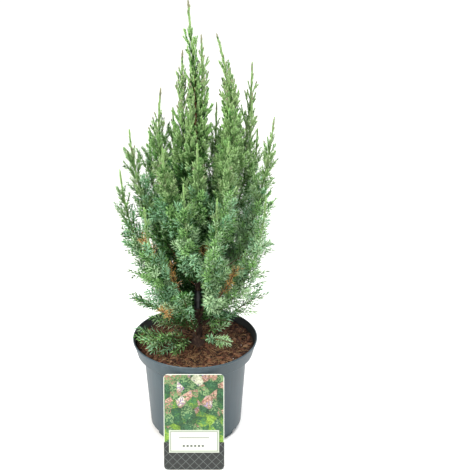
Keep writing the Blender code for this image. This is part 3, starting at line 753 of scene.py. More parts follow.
# %% Trunk and spines
def trunk_axis(height):
    """The middle of the trunk at a height."""
    share = (height - SOIL_TOP) / (TRUNK_TOP - SOIL_TOP)
    bow = TRUNK_BOW * math.sin(math.pi * min(1.0, 0.12 + 0.75 * share))
    return Vector((TRUNK_FOOT[0] + bow, TRUNK_FOOT[1] + 0.002 * math.sin(5.0 * share), height))


def trunk_radius(height):
    share = max(0.0, (height - SOIL_TOP) / (TRUNK_TOP - SOIL_TOP))
    flare = ROOT_FLARE * math.exp(-(height - SOIL_TOP) / ROOT_FLARE_HEIGHT)
    return TRUNK_RADIUS + (TRUNK_TIP_RADIUS - TRUNK_RADIUS) * share**0.8 + flare


def bough_radius(row, share):
    thick = BOUGH_RADIUS * (0.62 + 0.38 * min(1.0, (row[3] - row[4]) / 0.32))
    return thick * (1.0 - BOUGH_TAPER * share)


class Spine:
    """The line of one bough: a curve that leaves the trunk, leans out and turns to its tip."""

    def __init__(self, start, first, second, tip):
        self.knots = (start, first, second, tip)
        self.out = Vector((*(tip - start).xy, 0.0)).normalized()

    @classmethod
    def of(cls, row, lean, first_rise, last_rise):
        _, direction, reach, top, fork, _, swing = row
        angle = math.radians(direction)
        start = trunk_axis(fork)
        tip = Vector((reach * math.cos(angle), reach * math.sin(angle), top))
        run, rise = Vector((*(tip - start).xy, 0.0)), Vector((0.0, 0.0, top - fork))
        return cls(start, start + lean * run + first_rise * rise, start + swing * run + last_rise * rise, tip)

    def at(self, t):
        a, b, c, d = self.knots
        s = 1.0 - t
        return s**3 * a + 3 * s * s * t * b + 3 * s * t * t * c + t**3 * d

    def frame(self, t):
        """Unit vectors along the spine, to one side of it and across both."""
        a, b, c, d = self.knots
        s = 1.0 - t
        along = (s * s * (b - a) + 2 * s * t * (c - b) + t * t * (d - c)).normalized()
        side = Vector(UP).cross(self.out)
        side = (side - side.dot(along) * along).normalized()
        return along, side, along.cross(side)

    def leaves_bark(self):
        """The share of its run at which it comes out of the trunk's bark, or just before."""
        t = 0.0
        while (self.at(t) - trunk_axis(self.at(t).z)).xy.length < trunk_radius(self.at(t).z) - 0.001:
            t += 0.0025
        return t


# %% [markdown]
# From in front the sleeve, a little of the leader's stem and a few dead twigs show between
# the sprays.  Each of these sight lines is kept open: a shoot that would stand in one is
# dropped.


# %% Openings in the foliage
def seen(points):
    """Where points lie in the view from in front, and how far off they are."""
    run = np.asarray(points) - CAMERA_PLACE
    depth = run @ (0.0, math.sin(CAMERA_PITCH), -math.cos(CAMERA_PITCH))
    upward = run @ (0.0, math.cos(CAMERA_PITCH), math.sin(CAMERA_PITCH))
    return np.stack([run[:, 0], upward], axis=1) / depth[:, None], depth


class Opening:
    """A gap in the foliage through which a length of wood shows from in front."""

    def __init__(self, start, end, half_width):
        ends, self.depths = seen([start, end])
        self.start, self.run = ends[0], ends[1] - ends[0]
        self.half_width = half_width / self.depths.mean()

    def hidden_by(self, points):
        spots, depth = seen(points)
        share = np.clip((spots - self.start) @ self.run / (self.run @ self.run), 0.0, 1.0)
        gap = np.linalg.norm(spots - self.start - share[:, None] * self.run, axis=1)
        behind = self.depths[0] + share * (self.depths[1] - self.depths[0])
        return (gap < self.half_width) & (depth < behind - 0.003)


def blocks_opening(points):
    return np.any([opening.hidden_by(points) for opening in openings], axis=0)


# Older twigs that keep dead needles: foot, tip and thickness
DEAD_TWIGS = (
    ((-0.0175, -0.050, 0.2560), (-0.0345, -0.052, 0.3020), 0.0010),
    ((-0.0525, -0.050, 0.3140), (-0.0705, -0.055, 0.3480), 0.0009),
    ((0.0365, -0.040, 0.2420), (0.0590, -0.047, 0.2950), 0.0010),
    ((0.0110, -0.018, 0.2960), (0.0165, -0.024, 0.3160), 0.0008),
    ((-0.0300, -0.050, 0.2120), (-0.0470, -0.055, 0.2340), 0.0008),
)
TRUNK_GAP, LEADER_GAP, TWIG_GAP = 0.0105, 0.0012, 0.0036  # half-widths, at the wood
openings = [Opening(trunk_axis(SOIL_TOP + 0.006), trunk_axis(0.237), TRUNK_GAP)]
openings += [Opening(trunk_axis(0.475), trunk_axis(0.555), LEADER_GAP)]
openings += [Opening(foot, tip, TWIG_GAP) for foot, tip, _ in DEAD_TWIGS]

# %% [markdown]
# ## Each mass keeps to its own space
# A mass of foliage is the room round one spine.  Before a shoot is kept, points along it
# are measured against every mass: they must be nearer their own stem, as a share of its
# reach, than any other's.  The gaps between plumes, where the sky shows, come from this.


# %% Masses
class Mass:
    """One mass of foliage: its spine, where on it the foliage starts, and its half-width."""

    STATIONS = 32

    def __init__(self, name, kind, spine, start, width):
        self.name, self.kind, self.spine = "foliage_" + name, kind, spine
        self.start, self.width = start, width
        shares = [i / self.STATIONS for i in range(self.STATIONS + 1)]
        self.line = np.array([self.place(u)[0] for u in shares])
        self.reach = np.array([0.45 * width + 0.55 * self.half_width(u) for u in shares])
        self.length = float(np.linalg.norm(np.diff(self.line, axis=0), axis=1).sum())

    def place(self, u):
        """Point and frame at share u of the mass's own length."""
        t = self.start + (1.0 - self.start) * u
        return (self.spine.at(t), *self.spine.frame(t))

    def half_width(self, u):
        """A plume fills out soon and is drawn out to a point; a low branch stays broad."""
        if self.kind == "low":
            return self.width * (0.55 + 0.45 * math.sin(math.pi * min(1.0, 1.1 * u))) * (1.0 - u) ** 0.35
        return self.width * min(1.0, 0.6 + 2.0 * u) * (1.0 - u) ** 0.5


class Plant:
    """All the masses and limbs, so that each shoot can be tested against them."""

    SHARE_GAP = 0.04
    LIMB_GAP = 0.0004

    def __init__(self, masses, limbs):
        self.lines = np.array([mass.line for mass in masses])
        self.reaches = np.array([mass.reach for mass in masses])
        self.limb_points = np.concatenate([points for points, _ in limbs])
        self.limb_radii = np.concatenate([radii for _, radii in limbs])

    def nearness(self, points):
        """How far each point is from each mass's stem, as a share of its reach there."""
        gaps = np.linalg.norm(points[:, None, None, :] - self.lines[None], axis=3) / self.reaches[None]
        return gaps.min(axis=2)

    def clear(self, points):
        """For each point, True if it is clear of pot, mix, every limb and every opening."""
        gaps = np.linalg.norm(points[:, None, :] - self.limb_points[None], axis=2) - self.limb_radii[None]
        radius, height = np.hypot(points[:, 0], points[:, 1]), points[:, 2]
        over_rim = (radius > LIP_RADIUS - 0.012) & (height < POT_HEIGHT + 0.004)
        free = (gaps.min(axis=1) > self.LIMB_GAP) & ~over_rim & (height > SOIL_TOP + 0.004)
        return free & ~blocks_opening(points)

    def room(self, points, index):
        """For each point, True if it is clear and in the mass's own space."""
        near = self.nearness(points)
        own = near[:, index] + self.SHARE_GAP
        near[:, index] = np.inf
        return (own <= near.min(axis=1)) & self.clear(points)


# %% Gather masses and limbs
masses, spines = [], {}
heights = [SOIL_TOP + (TRUNK_TOP - SOIL_TOP) * i / 140 for i in range(141)]
limbs = [(np.array([trunk_axis(h) for h in heights]), np.array([trunk_radius(h) for h in heights]))]
shares = [i / 30 for i in range(31)]
for row in UPRIGHT:
    spine = spines[row[0]] = Spine.of(row, max(0.40, 0.6 * row[6] - 0.15), 0.16, 0.42)
    radii = np.array([bough_radius(row, s) for s in shares])
    limbs.append((np.array([spine.at(BARE_SHARE * s) for s in shares]), radii))
    masses.append(Mass(row[0], "plume", spine, BARE_SHARE, row[5]))
for rows, kind, bends in ((CLOSE, "plume", (0.90, 0.20, 0.55)), (LOW, "low", (0.36, 0.42, 0.86))):
    for row in rows:
        spine = Spine.of(row, *bends)
        masses.append(Mass(row[0], kind, spine, spine.leaves_bark(), row[5]))
foot = trunk_axis(TRUNK_TOP)
leader = Spine(foot, foot.lerp(LEADER_TIP, 1 / 3), foot.lerp(LEADER_TIP, 2 / 3), LEADER_TIP)
masses.append(Mass("leader", "plume", leader, 0.0, LEADER_WIDTH))
plant = Plant(masses, limbs)
print(len(masses), "masses on", len(UPRIGHT), "boughs")

# %% [markdown]
# ## Bark
# Young juniper bark is thin and brown and peels in narrow upright strips.  The wood is a
# tube with many rings; each corner is pushed in or out by a noise that is stretched along
# the limb, so the strips and the cracks between them are real relief.


# %% Bark-covered tubes
def barked(points, radii, sides, depth, seed):
    """A tube whose surface has long strips of bark, at most so deep."""
    corners, faces = tube(points, radii, sides)
    for r, centre in enumerate(np.asarray(points, float)):
        for k in range(sides):
            turn = math.tau * k / sides
            x, y, z = 4.0 * math.cos(turn), 4.0 * math.sin(turn), centre[2] * 70 + seed
            strip = noise.noise(Vector((x, y, z)))
            fine = noise.noise(Vector((2.4 * x, 2.4 * y, 2.0 * z)))
            push = depth * (1.0 if strip > 0.05 else -0.6) * min(1.0, 6 * abs(strip - 0.05)) + 0.4 * depth * fine
            out = corners[r * sides + k] - centre
            corners[r * sides + k] += out / np.linalg.norm(out) * push
    return corners, faces


trunk_heap, bough_heap = Heap(), Heap()
levels = [SOIL_TOP - 0.001 + (TRUNK_TOP + 0.001 - SOIL_TOP) * (i / 259) ** 1.15 for i in range(260)]
trunk_radii = [trunk_radius(level) - 0.0002 for level in levels]
trunk_heap.add(*barked([trunk_axis(level) for level in levels], trunk_radii, 26, 0.00055, 3.0))
for number, row in enumerate(UPRIGHT):
    line = [spines[row[0]].at(BARE_SHARE * share) for share in shares]
    radii = [bough_radius(row, share) for share in shares]
    bough_heap.add(*barked(line, radii, 12, 0.00028, 10.0 + number))

# %% [markdown]
# Bark low down is nearly black-brown: painted shade, for that wood stands deep in the crown;
# higher up it is younger and a warm orange-brown.  A ramp over the height mixes the two, and a
# stretched noise, 1 mm wide and 8 mm long, draws the strips in both.


# %% Juniper bark
def bark_material(name, low_stops, high_stops, low_z, high_z):
    made, add = new_material(name)
    place = add("TexCoord").outputs["Object"]
    stretched = add("Mapping", {"Vector": place, "Scale": (1.0, 1.0, 0.13)})
    strips = add("TexNoise", {"Vector": stretched, "Scale": 900.0, "Detail": 4.0, "Roughness": 0.6})
    blotches = add("TexNoise", {"Vector": place, "Scale": 90.0, "Detail": 3.0})
    both = add("Mix", {0: 0.4, 2: strips, 3: blotches})
    low, high = (add("ValToRGB", [both], stops) for stops in (low_stops, high_stops))
    height = add("SeparateXYZ", [place]).outputs[2]
    share = add("MapRange", {"Value": height, "From Min": low_z, "From Max": high_z})
    tone = add("Mix", {0: share, 6: low, 7: high}, data_type="RGBA").outputs[2]
    relief = add("Bump", {"Height": strips, "Strength": 0.6, "Distance": 0.0004})
    finish = {"Base Color": tone, "Roughness": 0.85, "Normal": relief, "Specular IOR Level": 0.3}
    add("OutputMaterial", [add("BsdfPrincipled", finish)])
    return made


# the dark stops for the wood low in the crown are painted shade; the young stops are the bark's own colour higher
# up
PAINTED_SHADE_TRUNK_BARK = [(0.30, "1c1512"), (0.50, "372720"), (0.68, "6a564a")]
PAINTED_SHADE_BOUGH_BARK = [(0.3, "211712"), (0.5, "37271e"), (0.7, "543f32")]
YOUNG_BARK = [(0.30, "3a281b"), (0.50, "66472e"), (0.70, "8e6b49")]
trunk_bark = bark_material("peeling juniper bark, old wood", PAINTED_SHADE_TRUNK_BARK, YOUNG_BARK, 0.24, 0.42)
bough_bark = bark_material("thin juniper bark, young wood", PAINTED_SHADE_BOUGH_BARK, YOUNG_BARK, 0.20, 0.36)
finished(settle(trunk_heap.mesh("trunk_bark", trunk_bark), 60.0), "bark", "trunk")
boughs = settle(bough_heap.mesh("bough_bark", bough_bark), 60.0)
finished(boughs, "bark", *["bough_" + row[0] for row in UPRIGHT])

# %% [markdown]
# ## The black sleeve
# A short plastic sleeve grips the trunk a hand's width above the mix; it once held the
# plant to its cane.  It is turned like the pot, with a rolled edge at each end, and then
# moved on to the trunk's line.

# %% Sleeve
TIE_BOTTOM = 0.204
TIE_LENGTH = 0.030
TIE_WALL = 0.0009
bore = trunk_radius(TIE_BOTTOM) + 2 * CLEARANCE
# share of the wall's thickness, height above the lower edge in millimetres
SLEEVE_LOWER = ((0, 0), (0.8, 0), (1, 0.6), (1, 1.8), (0.7, 2.8), (0.6, 11), (0.85, 12.5), (0.6, 14))
SLEEVE_UPPER = ((0.6, 25.5), (0.7, 27.2), (1, 28.2), (1, 29.4), (0.8, 30), (0, 30), (0, 0))
sleeve_steps = SLEEVE_LOWER + SLEEVE_UPPER
sleeve_section = [(bore + TIE_WALL * share, TIE_BOTTOM + up_mm / 1000) for share, up_mm in sleeve_steps]
sleeve = turned("stem_sleeve", sleeve_section, 40)
sleeve.location = (*trunk_axis(TIE_BOTTOM + TIE_LENGTH / 2).xy, 0.0)
settle(sleeve, 50.0)

polythene, add = new_material("extruded black polythene")
scuffs = add("TexNoise", {"Vector": add("TexCoord").outputs["Object"], "Scale": 220.0, "Detail": 4.0})
gloss = add("MapRange", {"Value": scuffs, "To Min": 0.22, "To Max": 0.48})
tone = add("ValToRGB", [scuffs], [(0.35, "0d1013"), (0.7, "1d2227")])
add("OutputMaterial", [add("BsdfPrincipled", {"Base Color": tone, "Roughness": gloss, "IOR": 1.51})])
sleeve.data.materials.append(polythene)
finished(sleeve, "tie_plastic", "stem_tie")

# %% [markdown]
# ## Shoots
# Every mass has a stem, side shoots that climb round it at the golden angle, and small
# branchlets on those.  Each leaves its parent at an angle and bends back towards it, which
# gives the plumes their upswept look.  A shoot that would leave its mass's space is tried
# shorter, and dropped if it still does not fit.


# %% Shoot geometry
def unit(vector):
    return vector / np.linalg.norm(vector)


def heading(along, side, across, angle, spread):
    """A direction that leaves the stem at an angle from it, turned round it by spread."""
    outward = math.cos(spread) * side + math.sin(spread) * across
    return unit(math.cos(angle) * along + math.sin(angle) * outward)


def bent_line(foot, aim, towards, bend, length, steps):
    """Points of a shoot that starts along one direction and bends towards another."""
    points = [foot]
    for i in range(steps):
        share = bend * (i + 0.5) / steps
        points.append(points[-1] + unit((1 - share) * aim + share * towards) * length / steps)
    return np.array(points)


class Shoot:
    """A leafy twig: its line, how young its foliage is (0 scaly, 1 prickly), and its colours."""

    def __init__(self, line, radii, youth, colours, bare, mass):
        self.line, self.radii, self.youth = line, radii, youth
        self.colours, self.bare, self.mass = colours, bare, mass
        self.length = float(np.linalg.norm(np.diff(line, axis=0), axis=1).sum())

    def part_way(self, share):
        """Where a share of the points is passed, and the direction there."""
        k = share * (len(self.line) - 1)
        run = self.line[int(k) + 1] - self.line[int(k)]
        return self.line[int(k)] + (k - int(k)) * run, unit(run)


def cross_frame(along):
    """Two unit vectors square to a direction."""
    side = unit(np.cross(along, UP if abs(along[2]) < 0.9 else np.array((1.0, 0.0, 0.0))))
    return side, np.cross(along, side)


def along_line(line, gap, start, rng):
    """Points and directions every gap along a line, from a share of its length on."""
    steps = np.linalg.norm(np.diff(line, axis=0), axis=1)
    total = np.concatenate([[0.0], np.cumsum(steps)])
    places = np.arange(start * total[-1] + gap * rng.random(), total[-1], gap)
    spots = np.stack([np.interp(places, total, line[:, axis]) for axis in range(3)], axis=1)
    which = np.clip(np.searchsorted(total, places, side="right") - 1, 0, len(steps) - 1)
    aims = np.diff(line, axis=0)[which] / steps[which][:, None]
    return spots, aims, places / total[-1]


# %% [markdown]
# Colour is dealt out by spray.  Scaly adult foliage is mid green, lighter where it is in
# full light and greyer at the spires; prickly young foliage at the foot is blue-green and
# bloomy.  Inner parts are deep green, painted shade inside the crown; the last growth up high
# has bronzed tips, and the sprays on the right are paler, painted light on that side.


# %% Colour by spray
def youth_at(mass, height, rng):
    """How prickly the foliage is: fully at the foot, less and less up the plumes."""
    if mass.kind == "low":
        return rng.uniform(0.88, 1.0)
    return min(0.95, max(0.0, (0.50 - height) / 0.19)) * rng.uniform(0.85, 1.0) + rng.uniform(0.0, 0.05)


def spray_colours(u, youth, height, rng):
    """The colour names of a spray's inner part, its body and its tip."""
    # an inner part in deep green is painted shade inside the crown
    if youth + rng.uniform(-0.18, 0.18) > 0.62:
        body = rng.choices(("young_blue", "young_pale", "young_green"), (0.45, 0.13, 0.42))[0]
        return "deep" if rng.random() < 0.5 else "young_green", body, body
    if u > 0.62:
        weights = (0.90, 0.08, 0.02) if height > 0.46 else (0.15, 0.55, 0.30)
        body = rng.choices(("grey", "mid", "light"), weights)[0]
        bronzed = 0.5 * min(1.0, max(0.05, (height - 0.38) / 0.12))
        return "mid", body, "bronze" if rng.random() < bronzed else body
    weights = (0.52, 0.30, 0.10, 0.08) if youth < 0.3 else (0.48, 0.22, 0.04, 0.26)
    body = rng.choices(("mid", "light", "grey", "young_green"), weights)[0]
    return "deep", body, "light" if rng.random() < 0.4 else body


# %% Grow the shoots of one mass
FULL_GAP, SPIRE_GAP = (0.0020, 0.0029), (0.0027, 0.0039)  # between side shoots, least and most
CORD_GAP = 0.0045  # how much wider they stand on a single cord
LOW_SPACING = 2.3  # how many times wider on a low branch
LOW_ANGLES, PLUME_ANGLES = (30, 46), (24, 37)  # degrees between a side shoot and its stem
LENGTHS = (0.50, 1.16)  # of a side shoot, as a share of what reaches the mass's side
TRIES = (1.0, 0.8, 0.62, 0.45, 0.3)  # shares of its length at which it is tried
SHORTEST, BARE_END = 0.008, 0.012
BRANCHLET_GAP = 0.0052
STEM_STEPS = 24
# Length of the single cord at a plume's tip, and masses whose shoots stand closer or
# further apart, or are shorter, than the others'
SINGLE_CORD = {"leader": 0.050, "upper_right": 0.030, "upper_left": 0.030}
SPACING = {
    "upper_right": 0.54,
    "outer_near_right": 1.1,
    "low_front": 1.5,
    "low_right": 1.8,
    "low_front_right": 2.0,
    "low_back_right": 1.7,
}
USUAL_CORD = 0.018
SHORTER = {"low_front": 0.6, "low_front_right": 0.8, "inner_right": 0.85}


def side_shoots(index, rng):
    """The stem of a mass, its side shoots and their branchlets."""
    mass = masses[index]
    low, short_name = mass.kind == "low", mass.name.removeprefix("foliage_")
    stem_shares = [i / STEM_STEPS for i in range(STEM_STEPS + 1)]
    stem_line = np.array([mass.place(u)[0] for u in stem_shares])
    stem_radii = [(0.0012 if low else 0.0016) * (1 - u) ** 0.8 + 0.00035 for u in stem_shares]
    top = float(stem_line[-1][2])
    colours = spray_colours(0.3, 0.9, top, rng) if low else ("mid", "grey", "bronze" if top > 0.50 else "light")
    bare = 0.0 if mass.start == 0.0 else 0.12
    shoots = [Shoot(stem_line, stem_radii, 0.9 if low else 0.0, colours, bare, mass)]
    single = SINGLE_CORD.get(short_name, USUAL_CORD)
    u, number = 0.0, 0
    while True:
        left = (1.0 - u) * mass.length
        young = youth_at(mass, mass.place(u)[0].z, rng)
        if low or left > 0.09:
            gap = rng.uniform(*FULL_GAP) * (LOW_SPACING if low else 1.0 + 0.12 * young**2)
        else:
            near_tip = min(1.0, max(0.0, (2.4 * single - left) / (1.4 * single)))
            gap = rng.uniform(*SPIRE_GAP) + CORD_GAP * near_tip
        u += gap * SPACING.get(short_name, 1.0) / mass.length
        left = (1.0 - u) * mass.length
        if left < BARE_END:
            return shoots
        spot, along, side, across = (np.array(v) for v in mass.place(u))
        number += 1
        if low:
            angle = math.radians(rng.uniform(*LOW_ANGLES))
            spread = math.pi * (number % 2) + rng.uniform(-0.9, 0.9)
        else:
            closing = (14 if mass.start == 0.0 else 7) * min(1.0, max(0.0, (0.16 - left) / 0.12))
            angle = math.radians(rng.uniform(*PLUME_ANGLES) + 14 * young - closing)
            spread = GOLDEN_ANGLE * number + rng.uniform(-0.35, 0.35)
        aim = heading(along, side, across, angle, spread)
        full = 0.98 * mass.half_width(u) / math.sin(angle) * rng.uniform(*LENGTHS) * (1.0 + 0.2 * young)
        full = max(0.009, min(full, 0.68 * left + 0.004, (left - 0.7 * single) * rng.uniform(0.75, 1.1)))
        longer = 1.25 if low else 1.32 if young > 0.3 and rng.random() < 0.17 else 1.0
        full *= SHORTER.get(short_name, 1.0) * longer
        if not low and left < single:
            full = rng.uniform(0.008, 0.010)
            aim = heading(along, side, across, math.radians(13), GOLDEN_ANGLE * number)
        for share in TRIES:
            length = share * full
            if length < SHORTEST:
                break
            steps = 3 if length < 0.02 else 5
            line = bent_line(spot, aim, along, 0.40, length, steps)
            if plant.room(line[-2:], index).all() and not blocks_opening(line).any():
                thick = 0.0007 if length > 0.03 else 0.0005
                radii = np.linspace(thick, 0.00030 + 0.00015 * young, steps + 1)
                shoots.append(Shoot(line, radii, young, spray_colours(u, young, spot[2], rng), 0.06, mass))
                shoots += branchlets(shoots[-1], index, min(1.0, max(0.0, (0.20 - left) / 0.12)), rng)
                break


def branchlets(parent, index, slim, rng):
    """Short shoots on both sides of a side shoot, shorter towards its tip, few on slim spires."""
    prickly = 0.0240 if parent.mass.kind == "low" else 0.0060
    count = int(parent.length / (BRANCHLET_GAP + prickly * parent.youth**2 + 0.0045 * slim))
    found = []
    for i in range(1, count):
        share = i / count * (1.0 - 0.3 * parent.youth)
        spot, along = parent.part_way(share)
        angle = math.radians(rng.uniform(18, 28) + 16 * parent.youth - 5 * slim)
        aim = heading(along, *cross_frame(along), angle, math.pi * (i % 2) + 0.9 * i + rng.uniform(-0.5, 0.5))
        length = (0.36 + 0.14 * rng.random()) * parent.length * (1.0 - share) ** 0.7 * (1 - 0.3 * slim) + 0.004
        found.append(bent_line(spot, aim, along, 0.35, min(length, 0.026 + 0.006 * parent.youth), 2))
    if not found:
        return []
    fits = plant.room(np.concatenate([line[1:] for line in found]), index).reshape(len(found), 2).all(axis=1)
    inner, body, tip = parent.colours
    colours = inner, body, body if tip == "bronze" and rng.random() < 0.65 else tip
    thin = (0.00040, 0.00034, 0.00024)
    return [Shoot(line, thin, parent.youth, colours, 0.0, parent.mass) for line, fit in zip(found, fits) if fit]


# %% [markdown]
# The trunk and the bare feet of the boughs are not quite bare: little sprigs stand on the
# wood, mostly prickly ones, and hide the middle of the plant.


# %% Sprigs on the wood
def sprigs(line, gap, longest, rng):
    """Short shoots that stand on a limb wherever they are clear of every other limb."""
    spots, along, _ = along_line(line, gap, 0.0, np.random.default_rng(rng.randrange(10**6)))
    found = []
    for number, (spot, forward) in enumerate(zip(spots, along)):
        slant = 22.0 * min(1.0, max(0.0, (spot[2] - 0.38) / 0.08))
        angle = math.radians(rng.uniform(38, 65) - slant)
        aim = heading(forward, *cross_frame(forward), angle, GOLDEN_ANGLE * number)
        shoot_line = bent_line(spot, aim, UP, 0.45, rng.uniform(0.016, longest), 4)
        if not plant.clear(shoot_line[2:]).all():
            continue
        owner = masses[int(plant.nearness(shoot_line[-1:])[0].argmin())]
        young = min(1.0, max(0.0, (0.46 - spot[2]) / 0.14))
        colours = spray_colours(0.3, young, spot[2], rng)
        # low sprigs near the trunk take deep green: painted shade inside the crown
        if spot[2] < 0.38 and rng.random() < (0.9 if spot[2] < 0.28 else 0.5):
            colours = ("deep", "deep", colours[1])
        sprig = Shoot(shoot_line, np.linspace(0.0006, 0.0003, 5), young, colours, 0.05, owner)
        found.append(sprig)
        for share, side_turn in ((0.35, 0.0), (0.55, math.pi), (0.72, 0.4)):
            base = int(share * 4)
            along_sprig = unit(sprig.line[base + 1] - sprig.line[base])
            angle = math.radians(rng.uniform(28, 42))
            aim = heading(along_sprig, *cross_frame(along_sprig), angle, side_turn + rng.uniform(-0.6, 0.6))
            side_line = bent_line(sprig.line[base], aim, along_sprig, 0.3, 0.42 * sprig.length * (1.2 - share), 2)
            if plant.clear(side_line[1:]).all():
                found.append(Shoot(side_line, (0.0004, 0.00034, 0.00024), young, colours, 0.0, owner))
    return found


# %% Grow them all
shoots = []
for index in range(len(masses)):
    shoots += side_shoots(index, random.Random(100 + index))
on_plumes = len(shoots)
rng = random.Random(77)
shoots += sprigs(np.array([trunk_axis(height) for height in np.linspace(0.172, 0.572, 110)]), 0.0022, 0.034, rng)
for row in UPRIGHT:
    wood_line = np.array([spines[row[0]].at(t) for t in np.linspace(0.05, BARE_SHARE + 0.02, 14)])
    shoots += sprigs(wood_line, 0.0042, 0.032, rng)
print(on_plumes, "shoots on the plumes and", len(shoots) - on_plumes, "on the wood")
print(round(sum(shoot.length for shoot in shoots), 1), "metres of shoots in all")

# %% [markdown]
# ## Needles
# A needle is a closed blade of four faces: a keel underneath, and two faces that meet
# along a raised edge above.  Adult needles lie along the twig, most of them in pairs, and
# young ones stand out in threes.  Real ones are 3 to 4 mm and 8 to 10 mm long.  They are
# drawn half as long again and twice as wide, so that 100,000 of them fill the crown.


# %% Needle arrays
class NeedleBank:
    """Collects needles by colour: foot, direction, the way it faces, length and width."""

    def __init__(self):
        self.rows, self.masses = {}, {}

    def add(self, name, mass_name, *columns):
        self.rows.setdefault(name, []).append(np.concatenate(columns, axis=1))
        self.masses.setdefault(name, set()).add(mass_name)


def needle_mesh(rows):
    """Corners and triangles of closed four-faced blades."""
    foot, aim, face, length, width = np.split(rows, (3, 6, 9, 10), axis=1)
    side = np.cross(face, aim)
    middle = foot + 0.38 * length * aim + 0.16 * width * face
    left, right = middle + 0.5 * width * side, middle - 0.5 * width * side
    corners = np.stack([foot, left, right, foot + length * aim], axis=1).reshape(-1, 3)
    order = np.array([(0, 2, 1), (0, 1, 3), (0, 3, 2), (1, 2, 3)])
    return corners, (np.arange(len(rows))[:, None, None] * 4 + order[None]).reshape(-1, 3)


def cross_frames(along):
    """Two unit vectors square to each of many directions."""
    side = np.cross(along, np.where(np.abs(along[:, 2:3]) < 0.9, UP, (1.0, 0.0, 0.0)))
    side /= np.linalg.norm(side, axis=1)[:, None]
    return side, np.cross(along, side)


def leant_out(along, side, across, turn, degrees):
    """For each needle, the way out of the twig, its own direction and the way it faces."""
    out = np.cos(turn)[:, None] * side + np.sin(turn)[:, None] * across
    angle = np.radians(degrees)[:, None]
    return out, np.cos(angle) * along + np.sin(angle) * out, np.cos(angle) * out - np.sin(angle) * along


# %% Clothe the shoots with needles
# Sizes of scaly foliage, and how much is added by the time that it is fully prickly
WHORL_GAP, MORE_GAP = 0.0015, 0.0020
NEEDLE_LENGTH, MORE_LENGTH = 0.0055, 0.0068
NEEDLE_ANGLE, MORE_ANGLE = 19, 37
NEEDLE_WIDTHS = (0.0021, 0.0016, 0.0018)  # scaly, in between and prickly


def clothe(shoot, bank, rng):
    youth = shoot.youth
    spots, along, shares = along_line(shoot.line, WHORL_GAP + MORE_GAP * youth, shoot.bare, rng)
    if len(spots) == 0:
        return
    per_whorl = 3 if youth > 0.3 or shoot.radii[0] > 0.0010 else 2
    frames = cross_frames(along)
    whorl = np.arange(len(spots))
    to_tip = (1.0 - shares) * shoot.length
    blunt = 0.78 - 0.12 * youth
    fade = blunt + (1 - blunt) * np.clip(to_tip / (0.010 + 0.006 * youth), 0, 1)
    inner, body, tip = shoot.colours
    names = np.where(shares < (0.30 if shoot.bare > 0 else 0.0), inner, body)
    last = 0.008 if tip != "bronze" else 0.0032 if shoot.radii[0] < 0.0010 else 0.012
    names = np.where(to_tip < last, tip, names)
    # deep green round the trunk is painted shade and the paler right side is painted light; a few random needles
    # take the deep or the bright copy, painted shade and light among them
    core = np.interp(spots[:, 2], (0.16, 0.26, 0.36, 0.50), (0.020, 0.048, 0.048, 0.0)) * rng.uniform(0.7, 1.25)
    names = np.where(np.hypot(spots[:, 0] - TRUNK_FOOT[0], spots[:, 1]) < core, "deep", names)
    bright = "young_pale" if youth > 0.6 else "grey" if body == "grey" else "light"
    speckle, odd = rng.random(len(spots)), 0.05 + 0.14 * youth
    painted_light_right = np.clip(spots[:, 0] / 0.08, -0.3, 1)
    names = np.where(speckle < odd * (1 - 0.6 * painted_light_right), "deep", names)
    names = np.where(speckle > 1 - odd - 0.35 * painted_light_right, bright, names)
    for needle in range(per_whorl):
        turn = whorl * math.pi / per_whorl + needle * math.tau / per_whorl + rng.normal(0, 0.22, len(spots))
        degrees = NEEDLE_ANGLE + MORE_ANGLE * youth**0.75 + rng.normal(0, 3.5, len(spots))
        degrees -= (12 + 40 * youth) * (1 - fade)
        _, aim, face = leant_out(along, *frames, turn, degrees - 8 * np.clip(1 - to_tip / 0.006, 0, 1))
        length = (NEEDLE_LENGTH + MORE_LENGTH * youth) * fade * rng.uniform(0.85, 1.15, len(spots))
        width = np.interp(youth, (0.0, 0.5, 1.0), NEEDLE_WIDTHS) * rng.uniform(0.85, 1.15, len(spots))
        columns = spots, aim, face, length[:, None], width[:, None]
        for name in dict.fromkeys((inner, body, tip, "deep", bright)):
            pick = names == name
            if pick.any():
                bank.add(name, shoot.mass.name, *(column[pick] for column in columns))


bank = NeedleBank()
needle_rng = np.random.default_rng(7)
for shoot in shoots:
    clothe(shoot, bank, needle_rng)
print({name: sum(len(r) for r in rows) for name, rows in bank.rows.items()})

# %% [markdown]
# Dead needles stay for years on the wood inside the crown: on the upper part of each bare
# bough, and thickest on a few old twigs.  They are short, dry and orange-brown.


# %% Dead needles on the inner wood
def dead_needles(line, start, mass_name):
    spots, along, _ = along_line(line, 0.0021, start, needle_rng)
    turn = needle_rng.uniform(0, math.tau, len(spots))
    degrees = needle_rng.uniform(35, 75, len(spots))
    out, aim, face = leant_out(along, *cross_frames(along), turn, degrees)
    length = needle_rng.uniform(0.005, 0.009, (len(spots), 1))
    bank.add("dead", mass_name, spots + 0.0012 * out, aim, face, length, np.full(length.shape, 0.0011))


